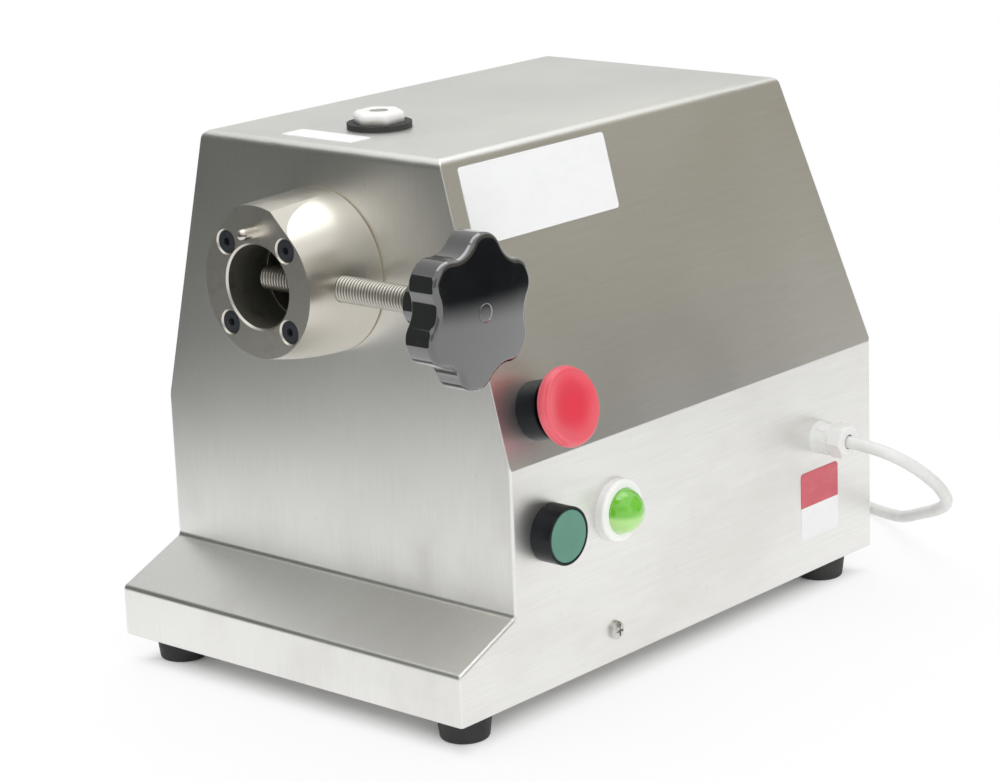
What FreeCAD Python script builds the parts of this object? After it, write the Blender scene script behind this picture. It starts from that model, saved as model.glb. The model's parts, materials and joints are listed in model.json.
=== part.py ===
import FreeCAD, Part
import math
import os
import re
import Sketcher

# Bench-top attachment drive: a geared motor in a folded stainless casing, with a clamping socket in front.
# Millimetres. The origin is on the floor, at the centre of the four feet. +X is the side with the buttons,
# +Y runs to the back and +Z is up.

sizes = {
    # Folded stainless casing
    "casing_width": 250.0,
    "casing_depth": 364.0,
    "casing_height": 280.0,
    "bend_height": 124.0,
    "top_width": 170.5,
    "back_lean": 33.0,
    "ledge_depth": 44.0,
    "ledge_front": 27.6,
    "ledge_back": 46.3,
    "sheet": 1.5,
    "top_bend": 5.0,
    "ledge_bend": 3.0,
    "corner_round": 1.6,
    # Base plate, feet and the screws that hold them
    "tray_sheet": 2.0,
    "tray_flange": 22.0,
    "tray_clearance": 0.3,
    "vent_length": 60.0,
    "vent_width": 5.0,
    "vent_pitch": 12.0,
    "vent_count": 7.0,
    "foot_height": 16.0,
    "foot_radius": 15.0,
    "foot_taper": 1.8,
    "foot_round": 2.0,
    "feet_across": 210.0,
    "feet_along": 316.0,
    "foot_mouth_radius": 6.5,
    "foot_mouth_depth": 4.5,
    "foot_screw_seat": 9.0,
    "screw_end": 1.0,
    "small_screw_radius": 2.5,
    "small_head_radius": 5.0,
    "small_head_height": 3.2,
    "small_nut_flats": 8.0,
    "small_nut_height": 4.0,
    "screw_clearance": 0.25,
    "fit_gap": 0.05,
    "slide_fit": 0.01,
    "side_screw_from_front": 124.0,
    "side_screw_height": 16.8,
    "back_screw_across": 160.0,
    "cross_length": 5.6,
    "cross_width": 1.3,
    "cross_depth": 1.6,
    "side_screw_end": 3.0,
    # Attachment socket
    "socket_from_top": 66.0,
    "socket_reach": 48.0,
    "socket_base_radius": 44.0,
    "socket_face_radius": 37.6,
    "socket_ridge_radius": 42.5,
    "socket_flank_radius": 190.0,
    "socket_bore_radius": 22.0,
    "socket_chamfer": 1.0,
    "relief_depth": 0.5,
    "relief_margin": 1.5,
    "socket_gasket": 0.8,
    "socket_screw_circle": 60.0,
    "socket_screw_radius": 3.0,
    "socket_screw_head": 5.8,
    "socket_screw_sink": 0.7,
    "socket_screw_key": 4.0,
    "socket_screw_key_depth": 3.0,
    "socket_screw_grip": 8.5,
    "countersink_radius": 6.8,
    "pin_height": 28.8,
    "pin_radius": 3.0,
    "pin_reach": 11.0,
    "pin_seat": 12.0,
    "pin_shank_radius": 2.5,
    "pin_slot": 0.8,
    "pin_slot_depth": 3.0,
    # Clamp screw and star knob
    "clamp_setback": 21.0,
    "clamp_radius": 7.0,
    "clamp_tip_gap": 9.0,
    "clamp_tip_chamfer": 1.2,
    "knob_start": 92.0,
    "knob_boss_radius": 12.8,
    "knob_boss_length": 25.0,
    "knob_boss_round": 2.0,
    "knob_radius": 39.3,
    "knob_thickness": 20.0,
    "knob_lobes": 6.0,
    "knob_turn": 9.0,
    "knob_dome": 3.0,
    "knob_scallop_radius": 16.0,
    "knob_scallop_centre": 48.5,
    "knob_lobe_round": 11.0,
    "knob_edge_round": 3.0,
    "knob_grip": 35.0,
    # Push buttons and pilot lamp on the right-hand side
    "buttons_from_front": 73.0,
    "stop_up_slope": 25.5,
    "start_height": 85.0,
    "pilot_from_front": 127.0,
    "pilot_height": 83.2,
    "button_hole_radius": 11.2,
    "collar_radius": 15.5,
    "stop_collar_height": 12.5,
    "stop_neck_radius": 13.3,
    "stop_neck_height": 17.0,
    "collar_round": 1.0,
    "barrel_radius": 11.0,
    "barrel_length": 16.0,
    "ring_nut_radius": 14.5,
    "ring_nut_height": 4.0,
    "plunger_radius": 7.7,
    "plunger_clearance": 0.3,
    "stop_head_radius": 20.0,
    "stop_head_back": 18.5,
    "stop_head_rim": 8.0,
    "stop_head_dish": 2.8,
    "stop_head_edge": 2.0,
    "stop_head_hollow": 5.5,
    "stop_travel": 4.0,
    "start_bezel_height": 13.0,
    "start_cap_radius": 13.9,
    "start_cap_thickness": 5.5,
    "start_travel": 3.0,
    "switch_width": 30.0,
    "switch_height": 24.0,
    "switch_depth": 28.0,
    "pilot_bezel_radius": 17.0,
    "pilot_bezel_height": 5.5,
    "pilot_bezel_round": 2.0,
    "pilot_lens_radius": 12.4,
    "pilot_lens_reach": 16.4,
    "pilot_lens_wall": 2.0,
    "pilot_barrel_radius": 8.0,
    "lamp_radius": 6.0,
    "lamp_length": 26.0,
    # Cable gland
    "gland_from_front": 312.5,
    "gland_height": 78.5,
    "gland_base_radius": 9.8,
    "gland_neck_radius": 8.8,
    "gland_body_length": 12.0,
    "gland_taper_share": 0.7,
    "gland_ribs": 8.0,
    "gland_rib_width": 1.6,
    "gland_rib_start": 2.5,
    "gland_rib_length": 7.0,
    "gland_thread_radius": 7.6,
    "gland_thread_length": 8.0,
    "gland_nut_flats": 18.0,
    "gland_nut_length": 8.5,
    "gland_nut_bevel": 1.0,
    "gland_bore_radius": 5.2,
    "gland_mouth_radius": 4.2,
    "gland_lock_radius": 11.0,
    "gland_lock_height": 4.0,
    # Oil filler on top
    "filler_from_front": 98.5,
    "filler_x": -6.0,
    "filler_washer_radius": 17.5,
    "filler_washer_height": 3.0,
    "filler_head_flats": 25.0,
    "filler_head_height": 7.5,
    "filler_head_crown": 3.0,
    "filler_dimple_radius": 5.5,
    "filler_dimple_depth": 1.5,
    "filler_thread_radius": 10.0,
    "filler_thread_length": 15.0,
    "filler_neck_wall": 2.5,
    # Gear train: motor pinion to layshaft wheel, layshaft pinion to output wheel
    "final_module": 2.0,
    "final_pinion_teeth": 14.0,
    "final_wheel_teeth": 42.0,
    "final_face": 18.0,
    "first_module": 1.5,
    "first_pinion_teeth": 16.0,
    "first_wheel_teeth": 48.0,
    "first_face": 14.0,
    "pressure_angle": 20.0,
    "tooth_root": 1.25,
    "centre_allowance": 0.2,
    "gear_gap": 4.0,
    # Gearbox
    "gearbox_radius": 56.0,
    "gearbox_wall": 9.5,
    "gearbox_front_wall": 24.0,
    "gearbox_cover_wall": 16.0,
    "gearbox_gasket_sheet": 1.0,
    "gearbox_bolt_radius": 2.5,
    "gearbox_bolt_grip": 16.0,
    "gearbox_bolt_head": 4.2,
    "gearbox_bolt_head_height": 5.0,
    "bolt_room": 1.0,
    "blind_hole_end": 2.0,
    "panel_opening_radius": 26.5,
    # Shafts, bearings and seals
    "drive_reach": 6.0,
    "drive_square": 14.0,
    "drive_depth": 24.0,
    "output_radius": 15.0,
    "output_shoulder": 18.0,
    "output_seat_radius": 14.0,
    "output_tail_radius": 10.0,
    "output_front_ring": 27.5,
    "output_front_width": 13.0,
    "output_rear_ring": 21.0,
    "output_rear_width": 12.0,
    "seal_radius": 26.0,
    "seal_width": 7.0,
    "layshaft_radius": 7.5,
    "layshaft_seat_radius": 9.0,
    "layshaft_ring": 17.5,
    "layshaft_ring_width": 11.0,
    "rotor_radius": 8.5,
    "rotor_ring": 20.0,
    "rotor_ring_width": 12.0,
    "rotor_seal_radius": 15.0,
    "rotor_tail_radius": 7.5,
    "rotor_tail_ring": 17.5,
    "rotor_tail_ring_width": 11.0,
    "race_share": 0.34,
    "shield_gap": 0.25,
    "shaft_passage": 5.0,
    # Motor
    "motor_radius": 60.0,
    "motor_wall": 3.0,
    "motor_length": 130.0,
    "stator_length": 70.0,
    "stator_bore": 32.4,
    "air_gap": 0.5,
    "winding_radius": 52.0,
    "winding_bore": 36.0,
    "winding_length": 20.0,
    "rotor_core_radius": 11.0,
    "shield_wall": 13.0,
    "shield_boss": 6.0,
    "shield_opening": 1.25,
    "fan_radius": 50.0,
    "fan_hub_radius": 13.0,
    "fan_width": 16.0,
    "fan_blades": 8.0,
    "fan_blade_sheet": 2.0,
    "fan_gap": 4.0,
    "fan_root": 1.0,
    "cowl_wall": 1.2,
    "cowl_opening": 34.0,
    "cradle_sheet": 3.0,
    "cradle_width": 96.0,
    "cradle_length": 90.0,
    "cradle_hug": 22.0,
    "cradle_screw_inset": 10.0,
    # Switchgear on the base plate
    "contactor_width": 45.0,
    "contactor_length": 76.0,
    "contactor_height": 70.0,
    "contactor_step": 18.0,
    "contactor_x": -88.0,
    "contactor_y": 40.0,
    "capacitor_radius": 20.0,
    "capacitor_length": 78.0,
    "capacitor_round": 2.0,
    "capacitor_stud_radius": 4.0,
    "capacitor_stud_length": 8.0,
    "capacitor_x": 92.0,
    "capacitor_y": 10.0,
    "clip_sheet": 1.2,
    "clip_length": 16.0,
    # Mains lead
    "cord_diameter": 7.2,
    "cord_bend_share": 0.45,
    "coil_turn_radius": 39.6,
    "coil_x": 0.0,
    "coil_y": 245.0,
    "coil_columns": 2.0,
    "coil_layers": 3.0,
    "tie_width": 14.0,
    "tie_sheet": 1.2,
    "tie_gap": 0.2,
    "plug_x": -62.0,
    "plug_radius": 18.5,
    "plug_neck_radius": 6.0,
    "plug_neck_length": 20.0,
    "plug_neck_flare": 2.0,
    "plug_shoulder": 8.0,
    "plug_body_length": 30.0,
    "plug_face_radius": 17.0,
    "plug_face_taper": 10.0,
    "plug_pin_radius": 2.4,
    "plug_pin_length": 19.0,
    "plug_pin_root": 1.0,
    "plug_pin_spacing": 19.0,
}

# Places and angles that follow from the sizes above
places = {
    "casing_z": "foot_height",
    "top_z": "casing_z + casing_height",
    "bend_z": "casing_z + bend_height",
    "front_y": "-casing_depth / 2",
    "back_y": "casing_depth / 2",
    "panel_y": "front_y + ledge_depth",
    "top_back_y": "back_y - back_lean",
    "side_x": "casing_width / 2",
    "slope_angle": "atan((casing_width - top_width) / 2 / (casing_height - bend_height))",
    "lean_angle": "atan(back_lean / (casing_height - bend_height))",
    "ledge_angle": "atan((ledge_back - ledge_front) / ledge_depth)",
    "ledge_drop": "1 / cos(ledge_angle) - tan(ledge_angle)",
    "tray_top_z": "casing_z + tray_sheet",
    "tray_x": "side_x - sheet - tray_clearance",
    "tray_y": "back_y - sheet - tray_clearance",
    "screw_hole": "small_screw_radius + screw_clearance",
    "nut_room": "small_nut_flats / 2 / cos(30 deg) + screw_clearance",
    "side_screw_z": "casing_z + side_screw_height",
    "side_screw_y": "front_y + side_screw_from_front",
    "socket_z": "top_z - socket_from_top",
    "socket_y": "panel_y - socket_gasket",
    "socket_length": "socket_reach - socket_gasket",
    "socket_screw_offset": "socket_screw_circle / 2 * sin(45 deg)",
    "socket_screw_hole": "socket_screw_radius + screw_clearance",
    "clamp_z": "socket_length - clamp_setback",
    "clamp_y": "socket_y - clamp_z",
    "clamp_tip_x": "clamp_tip_gap - socket_bore_radius",
    "relief_half": "clamp_radius + relief_margin",
    "knob_x": "knob_start + knob_boss_length",
    "buttons_y": "front_y + buttons_from_front",
    "stop_x": "side_x - stop_up_slope * sin(slope_angle)",
    "stop_z": "bend_z + stop_up_slope * cos(slope_angle)",
    "start_z": "casing_z + start_height",
    "pilot_y": "front_y + pilot_from_front",
    "pilot_z": "casing_z + pilot_height",
    "plunger_bore": "plunger_radius + plunger_clearance",
    "start_bore": "start_cap_radius + plunger_clearance",
    "gland_y": "front_y + gland_from_front",
    "gland_z": "casing_z + gland_height",
    "filler_y": "front_y + filler_from_front",
    "filler_bore": "filler_thread_radius + fit_gap",
    "filler_neck_radius": "filler_bore + filler_neck_wall",
    "final_centres": "final_module * (final_wheel_teeth + final_pinion_teeth) / 2 + centre_allowance",
    "first_centres": "first_module * (first_wheel_teeth + first_pinion_teeth) / 2 + centre_allowance",
    "lay_z": "socket_z - final_centres",
    "motor_z": "lay_z - first_centres",
    "box_y": "panel_y + sheet",
    "cavity_radius": "gearbox_radius - gearbox_wall",
    "bolt_line_radius": "gearbox_radius - gearbox_wall / 2",
    "final_y": "box_y + gearbox_front_wall + gear_gap",
    "first_y": "final_y + final_face + gear_gap",
    "joint_y": "first_y + first_face + gear_gap",
    "cover_y": "joint_y + gearbox_gasket_sheet",
    "motor_y": "cover_y + gearbox_cover_wall",
    "stator_y": "motor_y + (motor_length - stator_length) / 2",
    "shield_y": "motor_y + motor_length",
    "fan_y": "shield_y + shield_wall + fan_gap",
    "vents_y": "fan_y - vent_pitch * vent_count / 2",
    "cowl_depth": "shield_wall + 2 * fan_gap + fan_width",
    "front_bearing_y": "box_y + gearbox_front_wall - output_front_width",
    "lay_front_y": "box_y + gearbox_front_wall - layshaft_ring_width",
    "rotor_front_y": "motor_y - rotor_ring_width",
    "tail_bearing_y": "shield_y",
    "drive_y": "panel_y - drive_reach",
    "coil_z": "tie_sheet + tie_gap",
    "coil_outer": "coil_turn_radius + coil_columns * cord_diameter / 2",
    "coil_inner": "coil_turn_radius - coil_columns * cord_diameter / 2",
    "coil_height": "coil_layers * cord_diameter",
    "cord_lane_y": "coil_y + coil_outer - cord_diameter / 2",
    "tail_z": "coil_z + coil_height - cord_diameter / 2",
}

Vector = FreeCAD.Vector
upright = FreeCAD.Rotation()
forward = FreeCAD.Rotation(Vector(1, 0, 0), 90)
backward = FreeCAD.Rotation(Vector(1, 0, 0), -90)
sideways = FreeCAD.Rotation(Vector(0, 1, 0), 90)
leftward = FreeCAD.Rotation(Vector(0, 1, 0), -90)

document = FreeCAD.newDocument("attachment_drive")
sheet_of = {name: "Size" for name in sizes}
sheet_of.update({name: "Place" for name in places})
nodes = []


# Spreadsheets and expressions

def spelled(text):
    # Gives each size or place in an expression the name of the sheet that holds it
    return re.sub(r"[a-z_]+", lambda word: f"{sheet_of[word.group()]}.{word.group()}"
                  if word.group() in sheet_of else word.group(), text)


def fill_sheet(label, cells):
    sheet = document.addObject("Spreadsheet::Sheet", label)
    for row, (alias, content) in enumerate(cells, start=1):
        sheet.set(f"A{row}", alias)
        sheet.set(f"B{row}", content)
        sheet.setAlias(f"B{row}", alias)
    document.recompute()
    return sheet


fill_sheet("Size", [(name, str(value)) for name, value in sizes.items()])
place_sheet = fill_sheet("Place", [(name, "=" + spelled(text)) for name, text in places.items()])


def number(text):
    value = place_sheet.evalExpression(spelled(text))
    return float(getattr(value, "Value", value))


def bind(item, **sizes_of_item):
    for name, text in sizes_of_item.items():
        item.setExpression(name, spelled(text))


def put(item, x="0", y="0", z="0", turn=upright):
    item.Placement = FreeCAD.Placement(Vector(), turn)
    for axis, text in zip("xyz", (x, y, z)):
        item.setExpression(f"Placement.Base.{axis}", spelled(text))
    return item


def put_on_slope(item, x, y, z):
    # Stands a piece square on the sloping right-hand side, its own z axis pointing out of the sheet
    put(item, x, y, z, sideways)
    item.setExpression("Placement.Rotation.Angle", spelled("90 deg - slope_angle"))
    return item


def keep(item, label):
    item.Label = label
    nodes.append(item)
    return item


# Sketches and features inside one body

def new_body(name):
    return document.addObject("PartDesign::Body", name)


def new_sketch(body, plane, offset="0"):
    sketch = body.newObject("Sketcher::SketchObject", body.Name + "_sketch")
    support = [item for item in body.Origin.OriginFeatures if item.Role == plane][0]
    sketch.AttachmentSupport = [(support, "")]
    sketch.MapMode = "FlatFace"
    sketch.setExpression("AttachmentOffset.Base.z", spelled(offset))
    return sketch


def pin_point(sketch, curve, end, u, v):
    for direction, text in (("DistanceX", u), ("DistanceY", v)):
        index = sketch.addConstraint(Sketcher.Constraint(direction, -1, 1, curve, end, number(text)))
        sketch.setExpression(f"Constraints[{index}]", spelled(text))


def pin_radius(sketch, curve, radius):
    index = sketch.addConstraint(Sketcher.Constraint("Radius", curve, number(radius)))
    sketch.setExpression(f"Constraints[{index}]", spelled(radius))


def arc_between(start, end, radius, side):
    # An arc from start to end, bulging to the right of the way there with side 1, to the left with -1
    along = end - start
    across = Vector(along.y, -along.x, 0).normalize() * side
    sagitta = radius - math.sqrt(max(radius ** 2 - (along.Length / 2) ** 2, 0))
    return Part.Arc(start, (start + end) / 2 + across * sagitta, end)


def outline(body, plane, points, offset="0"):
    # A closed outline. A point is (u, v), or (u, v, radius, side) where the next stretch is an arc
    sketch = new_sketch(body, plane, offset)
    corners = [Vector(number(point[0]), number(point[1]), 0) for point in points]
    count = len(points)
    starts = []
    for index, point in enumerate(points):
        start, end = corners[index], corners[(index + 1) % count]
        if len(point) == 2:
            sketch.addGeometry(Part.LineSegment(start, end), False)
            starts.append((1, 2))
        else:
            sketch.addGeometry(arc_between(start, end, number(point[2]), point[3]), False)
            starts.append((1, 2) if point[3] > 0 else (2, 1))
    for index in range(count):
        following = (index + 1) % count
        sketch.addConstraint(Sketcher.Constraint(
            "Coincident", index, starts[index][1], following, starts[following][0]))
    for index, point in enumerate(points):
        pin_point(sketch, index, starts[index][0], point[0], point[1])
        if len(point) > 2:
            pin_radius(sketch, index, point[2])
    return sketch


def circle(body, plane, radius, u="0", v="0", offset="0"):
    sketch = new_sketch(body, plane, offset)
    sketch.addGeometry(Part.Circle(Vector(number(u), number(v), 0), Vector(0, 0, 1), number(radius)), False)
    pin_point(sketch, 0, 3, u, v)
    pin_radius(sketch, 0, radius)
    return sketch


def box_outline(body, plane, low_u, high_u, low_v, high_v, offset="0"):
    return outline(body, plane, [(low_u, low_v), (high_u, low_v), (high_u, high_v), (low_u, high_v)], offset)


def hexagon(body, flats, offset="0"):
    # A hexagon about the body's own z axis, two flats square to x
    half, high, low = f"{flats} / 2", f"{flats} / 2 * tan(30 deg)", f"{flats} / cos(30 deg) / 2"
    return outline(body, "XY_Plane", [
        (half, f"-({high})"), (half, high), ("0", low), (f"-({half})", high), (f"-({half})", f"-({high})"),
        ("0", f"-({low})")], offset)


def stadium(body, radius, offset="0"):
    # The gearbox outline seen from the front: two half rounds, on the output and motor axes
    left = f"-({radius})"
    return outline(body, "XZ_Plane", [
        (radius, "motor_z"), (radius, "socket_z", radius, 1), ("0", f"socket_z + {radius}", radius, 1),
        (left, "socket_z"), (left, "motor_z", radius, 1), ("0", f"motor_z - {radius}", radius, 1)], offset)


def grow(body, kind, sketch, length, reverse=False, both=False):
    feature = body.newObject(f"PartDesign::{kind}", f"{body.Name}_{kind.lower()}")
    feature.Profile = sketch
    bind(feature, Length=length)
    feature.Reversed = reverse
    if both:
        feature.SideType = "Symmetric"
    return feature


def pad(body, sketch, length, reverse=False, both=False):
    return grow(body, "Pad", sketch, length, reverse, both)


def pocket(body, sketch, length, reverse=False, both=False):
    return grow(body, "Pocket", sketch, length, reverse, both)


def spin(body, points, kind="Revolution"):
    # Turns an (r, z) outline about the body's own z axis
    sketch = outline(body, "XZ_Plane", points)
    feature = body.newObject(f"PartDesign::{kind}", f"{body.Name}_{kind.lower()}")
    feature.Profile = sketch
    feature.ReferenceAxis = (sketch, ["V_Axis"])
    feature.Angle = 360
    return feature


def turned(name, points):
    body = new_body(name)
    spin(body, points)
    return body


def tube(name, outer, inner, low, high):
    return turned(name, [(inner, low), (outer, low), (outer, high), (inner, high)])


def polar(body, feature, count):
    pattern = body.newObject("PartDesign::PolarPattern", body.Name + "_pattern")
    pattern.Originals = [feature]
    pattern.Axis = ([item for item in body.Origin.OriginFeatures if item.Role == "Z_Axis"][0], [""])
    bind(pattern, Occurrences=count)
    body.Tip = pattern
    return pattern


def rounded(body, radius, wanted):
    # Rounds the edges of the body's tip that the wanted test picks
    document.recompute()
    base = body.Tip
    edges = [f"Edge{index}" for index, edge in enumerate(base.Shape.Edges, start=1) if wanted(edge)]
    feature = body.newObject("PartDesign::Fillet", body.Name + "_round")
    feature.Base = (base, edges)
    bind(feature, Radius=radius)
    return feature


# Part primitives and booleans

def rod(radius, length, x="0", y="0", z="0", turn=upright):
    item = document.addObject("Part::Cylinder", "rod")
    bind(item, Radius=radius, Height=length)
    return put(item, x, y, z, turn)


def block(length, width, height, x="0", y="0", z="0", turn=upright):
    item = document.addObject("Part::Box", "block")
    bind(item, Length=length, Width=width, Height=height)
    return put(item, x, y, z, turn)


def group(items, label="group"):
    item = document.addObject("Part::Compound", label)
    item.Links = items
    return item


def joined(items, label="joined"):
    item = document.addObject("Part::MultiFuse", label)
    item.Shapes = items
    return item


def cut(base, tools, label="cut"):
    item = document.addObject("Part::Cut", label)
    item.Base = base
    item.Tool = tools[0] if len(tools) == 1 else group(tools)
    return item


def mirrored(item, normal, z="0"):
    # The piece and its mirror image, as one group
    copy = document.addObject("Part::Mirroring", "mirrored")
    copy.Source = item
    copy.Normal = normal
    copy.setExpression("Base.z", spelled(z))
    return group([item, copy])


across, along, upwards = Vector(1, 0, 0), Vector(0, 1, 0), Vector(0, 0, 1)


# Casing, base plate and feet

def level_edge(z, tolerance=0.01):
    return lambda edge: all(abs(vertex.Z - z) < tolerance for vertex in edge.Vertexes)


def crosswise_edge(y, z, tolerance=0.01):
    return lambda edge: all(abs(vertex.Y - y) < tolerance and abs(vertex.Z - z) < tolerance
                            for vertex in edge.Vertexes)


def rising_edge(z, tolerance=0.01):
    # An edge that isn't level, in the part of the casing below the height z
    return lambda edge: (abs(edge.Vertexes[0].Z - edge.Vertexes[-1].Z) > tolerance
                         and max(vertex.Z for vertex in edge.Vertexes) < z + tolerance)


def casing_block(name, inset, floor, corner=None):
    # The casing's outside, or its inside when every wall is set in by the sheet
    body = new_body(name)
    bend = f"bend_z - {inset} * tan(slope_angle / 2)"
    ledge_front = f"casing_z + ledge_front - {inset} * ledge_drop"
    ledge_back = f"casing_z + ledge_back - {inset} * ledge_drop"
    front, panel, back = f"front_y + {inset}", f"panel_y + {inset}", f"back_y - {inset}"
    top_half = f"top_width / 2 - {inset} * (1 / cos(slope_angle) - tan(slope_angle))"
    top_back = f"top_back_y - {inset} * (1 / cos(lean_angle) - tan(lean_angle))"
    half = f"side_x - {inset}"
    profile = outline(body, "YZ_Plane", [
        (front, floor), (back, floor), (back, bend), (panel, bend), (panel, ledge_back), (front, ledge_front)])
    pad(body, profile, f"2 * ({half})", both=True)
    loft = body.newObject("PartDesign::AdditiveLoft", name + "_loft")
    loft.Profile = box_outline(body, "XY_Plane", f"-({half})", half, panel, back, bend)
    loft.Sections = [box_outline(body, "XY_Plane", f"-({top_half})", top_half, panel, top_back,
                                 f"top_z - {inset}")]
    loft.Ruled = True
    rounded(body, f"top_bend - {inset}", level_edge(number(f"top_z - {inset}")))
    rounded(body, f"ledge_bend - {inset}", crosswise_edge(number(front), number(ledge_front)))
    rounded(body, f"ledge_bend + {inset}", crosswise_edge(number(panel), number(ledge_back)))
    if corner:
        rounded(body, corner, rising_edge(number(bend)))
    return body


def casing():
    outside = casing_block("casing_outside", "0", "casing_z", "corner_round")
    inside = casing_block("casing_inside", "sheet", "casing_z - sheet")
    shell = cut(outside, [inside])
    deep = "4 * sheet"
    stop_hole = rod("button_hole_radius", deep)
    put_on_slope(stop_hole, "stop_x - 2 * sheet * cos(slope_angle)", "buttons_y",
                 "stop_z - 2 * sheet * sin(slope_angle)")
    into_side = "side_x - 2 * sheet"
    front_screws = rod("socket_screw_hole", deep, "socket_screw_offset", "panel_y + 2 * sheet",
                       "socket_z + socket_screw_offset", forward)
    side_screw = rod("screw_hole", deep, into_side, "side_screw_y", "side_screw_z", sideways)
    back_screw = rod("screw_hole", deep, "back_screw_across / 2", "back_y + 2 * sheet", "side_screw_z", forward)
    holes = [
        stop_hole,
        rod("button_hole_radius", deep, into_side, "buttons_y", "start_z", sideways),
        rod("pilot_barrel_radius + screw_clearance", deep, into_side, "pilot_y", "pilot_z", sideways),
        rod("gland_thread_radius + screw_clearance", deep, into_side, "gland_y", "gland_z", sideways),
        rod("panel_opening_radius", deep, "0", "panel_y + 2 * sheet", "socket_z", forward),
        rod("filler_neck_radius + screw_clearance", deep, "filler_x", "filler_y", "top_z - 2 * sheet"),
        mirrored(mirrored(front_screws, across), upwards, "socket_z"),
        mirrored(side_screw, across),
        mirrored(back_screw, across),
    ]
    return keep(cut(shell, holes), "casing")


def base_plate():
    body = new_body("tray")
    edges = ("-tray_x", "tray_x", "-tray_y", "tray_y")
    walls = ("tray_sheet - tray_x", "tray_x - tray_sheet", "tray_sheet - tray_y", "tray_y - tray_sheet")
    pad(body, box_outline(body, "XY_Plane", *edges), "tray_flange")
    pocket(body, box_outline(body, "XY_Plane", *walls, "tray_flange"), "tray_flange - tray_sheet")
    first_vent = box_outline(body, "XY_Plane", "-vent_length / 2", "vent_length / 2", "vents_y",
                             "vents_y + vent_width")
    vents = pocket(body, first_vent, "tray_sheet", reverse=True)
    pattern = body.newObject("PartDesign::LinearPattern", "vent_pattern")
    pattern.Originals = [vents]
    pattern.Direction = ([item for item in body.Origin.OriginFeatures if item.Role == "Y_Axis"][0], [""])
    bind(pattern, Occurrences="vent_count", Length="vent_pitch * (vent_count - 1)")
    body.Tip = pattern
    put(body, z="casing_z")
    deep = "4 * tray_sheet"
    foot_hole = rod("screw_hole", deep, "feet_across / 2", "feet_along / 2", "casing_z - tray_sheet")
    side_hole = rod("small_screw_radius + fit_gap", deep, "tray_x - 2 * tray_sheet", "side_screw_y",
                    "side_screw_z", sideways)
    back_hole = rod("small_screw_radius + fit_gap", deep, "back_screw_across / 2", "tray_y + 2 * tray_sheet",
                    "side_screw_z", forward)
    nut_room = rod("nut_room", "tray_flange", "feet_across / 2", "feet_along / 2", "tray_top_z")
    holes = [mirrored(mirrored(group([foot_hole, nut_room]), across), along), mirrored(side_hole, across),
             mirrored(back_hole, across),
             cradle_holes("small_screw_radius + fit_gap", "casing_z - tray_sheet", deep)]
    return keep(cut(body, holes), "base_plate")


def cradle_holes(radius, z, length):
    first = rod(radius, length, "cradle_width / 2 - cradle_screw_inset", "stator_y + cradle_screw_inset", z)
    second = rod(radius, length, "cradle_width / 2 - cradle_screw_inset",
                 "stator_y + cradle_length - cradle_screw_inset", z)
    return mirrored(group([first, second]), across)


def rubber_feet():
    low = "foot_radius - foot_taper"
    foot = turned("foot", [
        ("foot_mouth_radius", "0"), (f"{low} - foot_round", "0", "foot_round", 1), (low, "foot_round"),
        ("foot_radius", "foot_height"), ("screw_hole", "foot_height"), ("screw_hole", "foot_screw_seat"),
        ("small_head_radius + screw_clearance", "foot_screw_seat"),
        ("small_head_radius + screw_clearance", "foot_mouth_depth"), ("foot_mouth_radius", "foot_mouth_depth")])
    put(foot, "feet_across / 2", "-feet_along / 2")
    return keep(mirrored(mirrored(foot, across), along), "rubber_feet")


def pan_screw(name, length):
    # Head on the body's own z = 0 plane, shank below it, with a cross recess
    screw = turned(name, [
        ("0", f"-({length})"), ("small_screw_radius", f"-({length})"), ("small_screw_radius", "0"),
        ("small_head_radius", "0"), ("small_head_radius", "small_head_height / 2", "small_head_radius", 1),
        ("small_head_radius / 2", "small_head_height"), ("0", "small_head_height")])
    half, width = "cross_length / 2", "cross_width / 2"
    cross = outline(screw, "XY_Plane", [
        (half, f"-({width})"), (half, width), (width, width), (width, half), (f"-({width})", half),
        (f"-({width})", width), (f"-({half})", width), (f"-({half})", f"-({width})"),
        (f"-({width})", f"-({width})"), (f"-({width})", f"-({half})"), (width, f"-({half})"),
        (width, f"-({width})")], "small_head_height")
    pocket(screw, cross, "cross_depth")
    return screw


def feet_screws():
    grip = "foot_height - foot_screw_seat + tray_sheet + small_nut_height + screw_end"
    screw = pan_screw("foot_screw", grip)
    put(screw, "feet_across / 2", "-feet_along / 2", "foot_screw_seat",
        FreeCAD.Rotation(Vector(1, 0, 0), 180))
    nut = new_body("foot_nut")
    pad(nut, hexagon(nut, "small_nut_flats"), "small_nut_height")
    pocket(nut, circle(nut, "XY_Plane", "small_screw_radius + fit_gap"), "small_nut_height", reverse=True)
    put(nut, "feet_across / 2", "-feet_along / 2", "tray_top_z")
    keep(mirrored(mirrored(group([screw, nut]), across), along), "foot_fasteners")


def casing_screws():
    grip = "sheet + tray_clearance + tray_sheet + side_screw_end"
    side = put(pan_screw("side_screw", grip), "side_x", "side_screw_y", "side_screw_z", sideways)
    back = put(pan_screw("back_screw", grip), "back_screw_across / 2", "back_y", "side_screw_z", backward)
    return keep(group([mirrored(side, across), mirrored(back, across)]), "casing_screws")


# Attachment socket: the body's own z axis points out of the front, its own y axis up

def in_socket(item, x="0", up="0", out="0"):
    return put(item, x, f"socket_y - ({out})", f"socket_z + {up}", forward)


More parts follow.
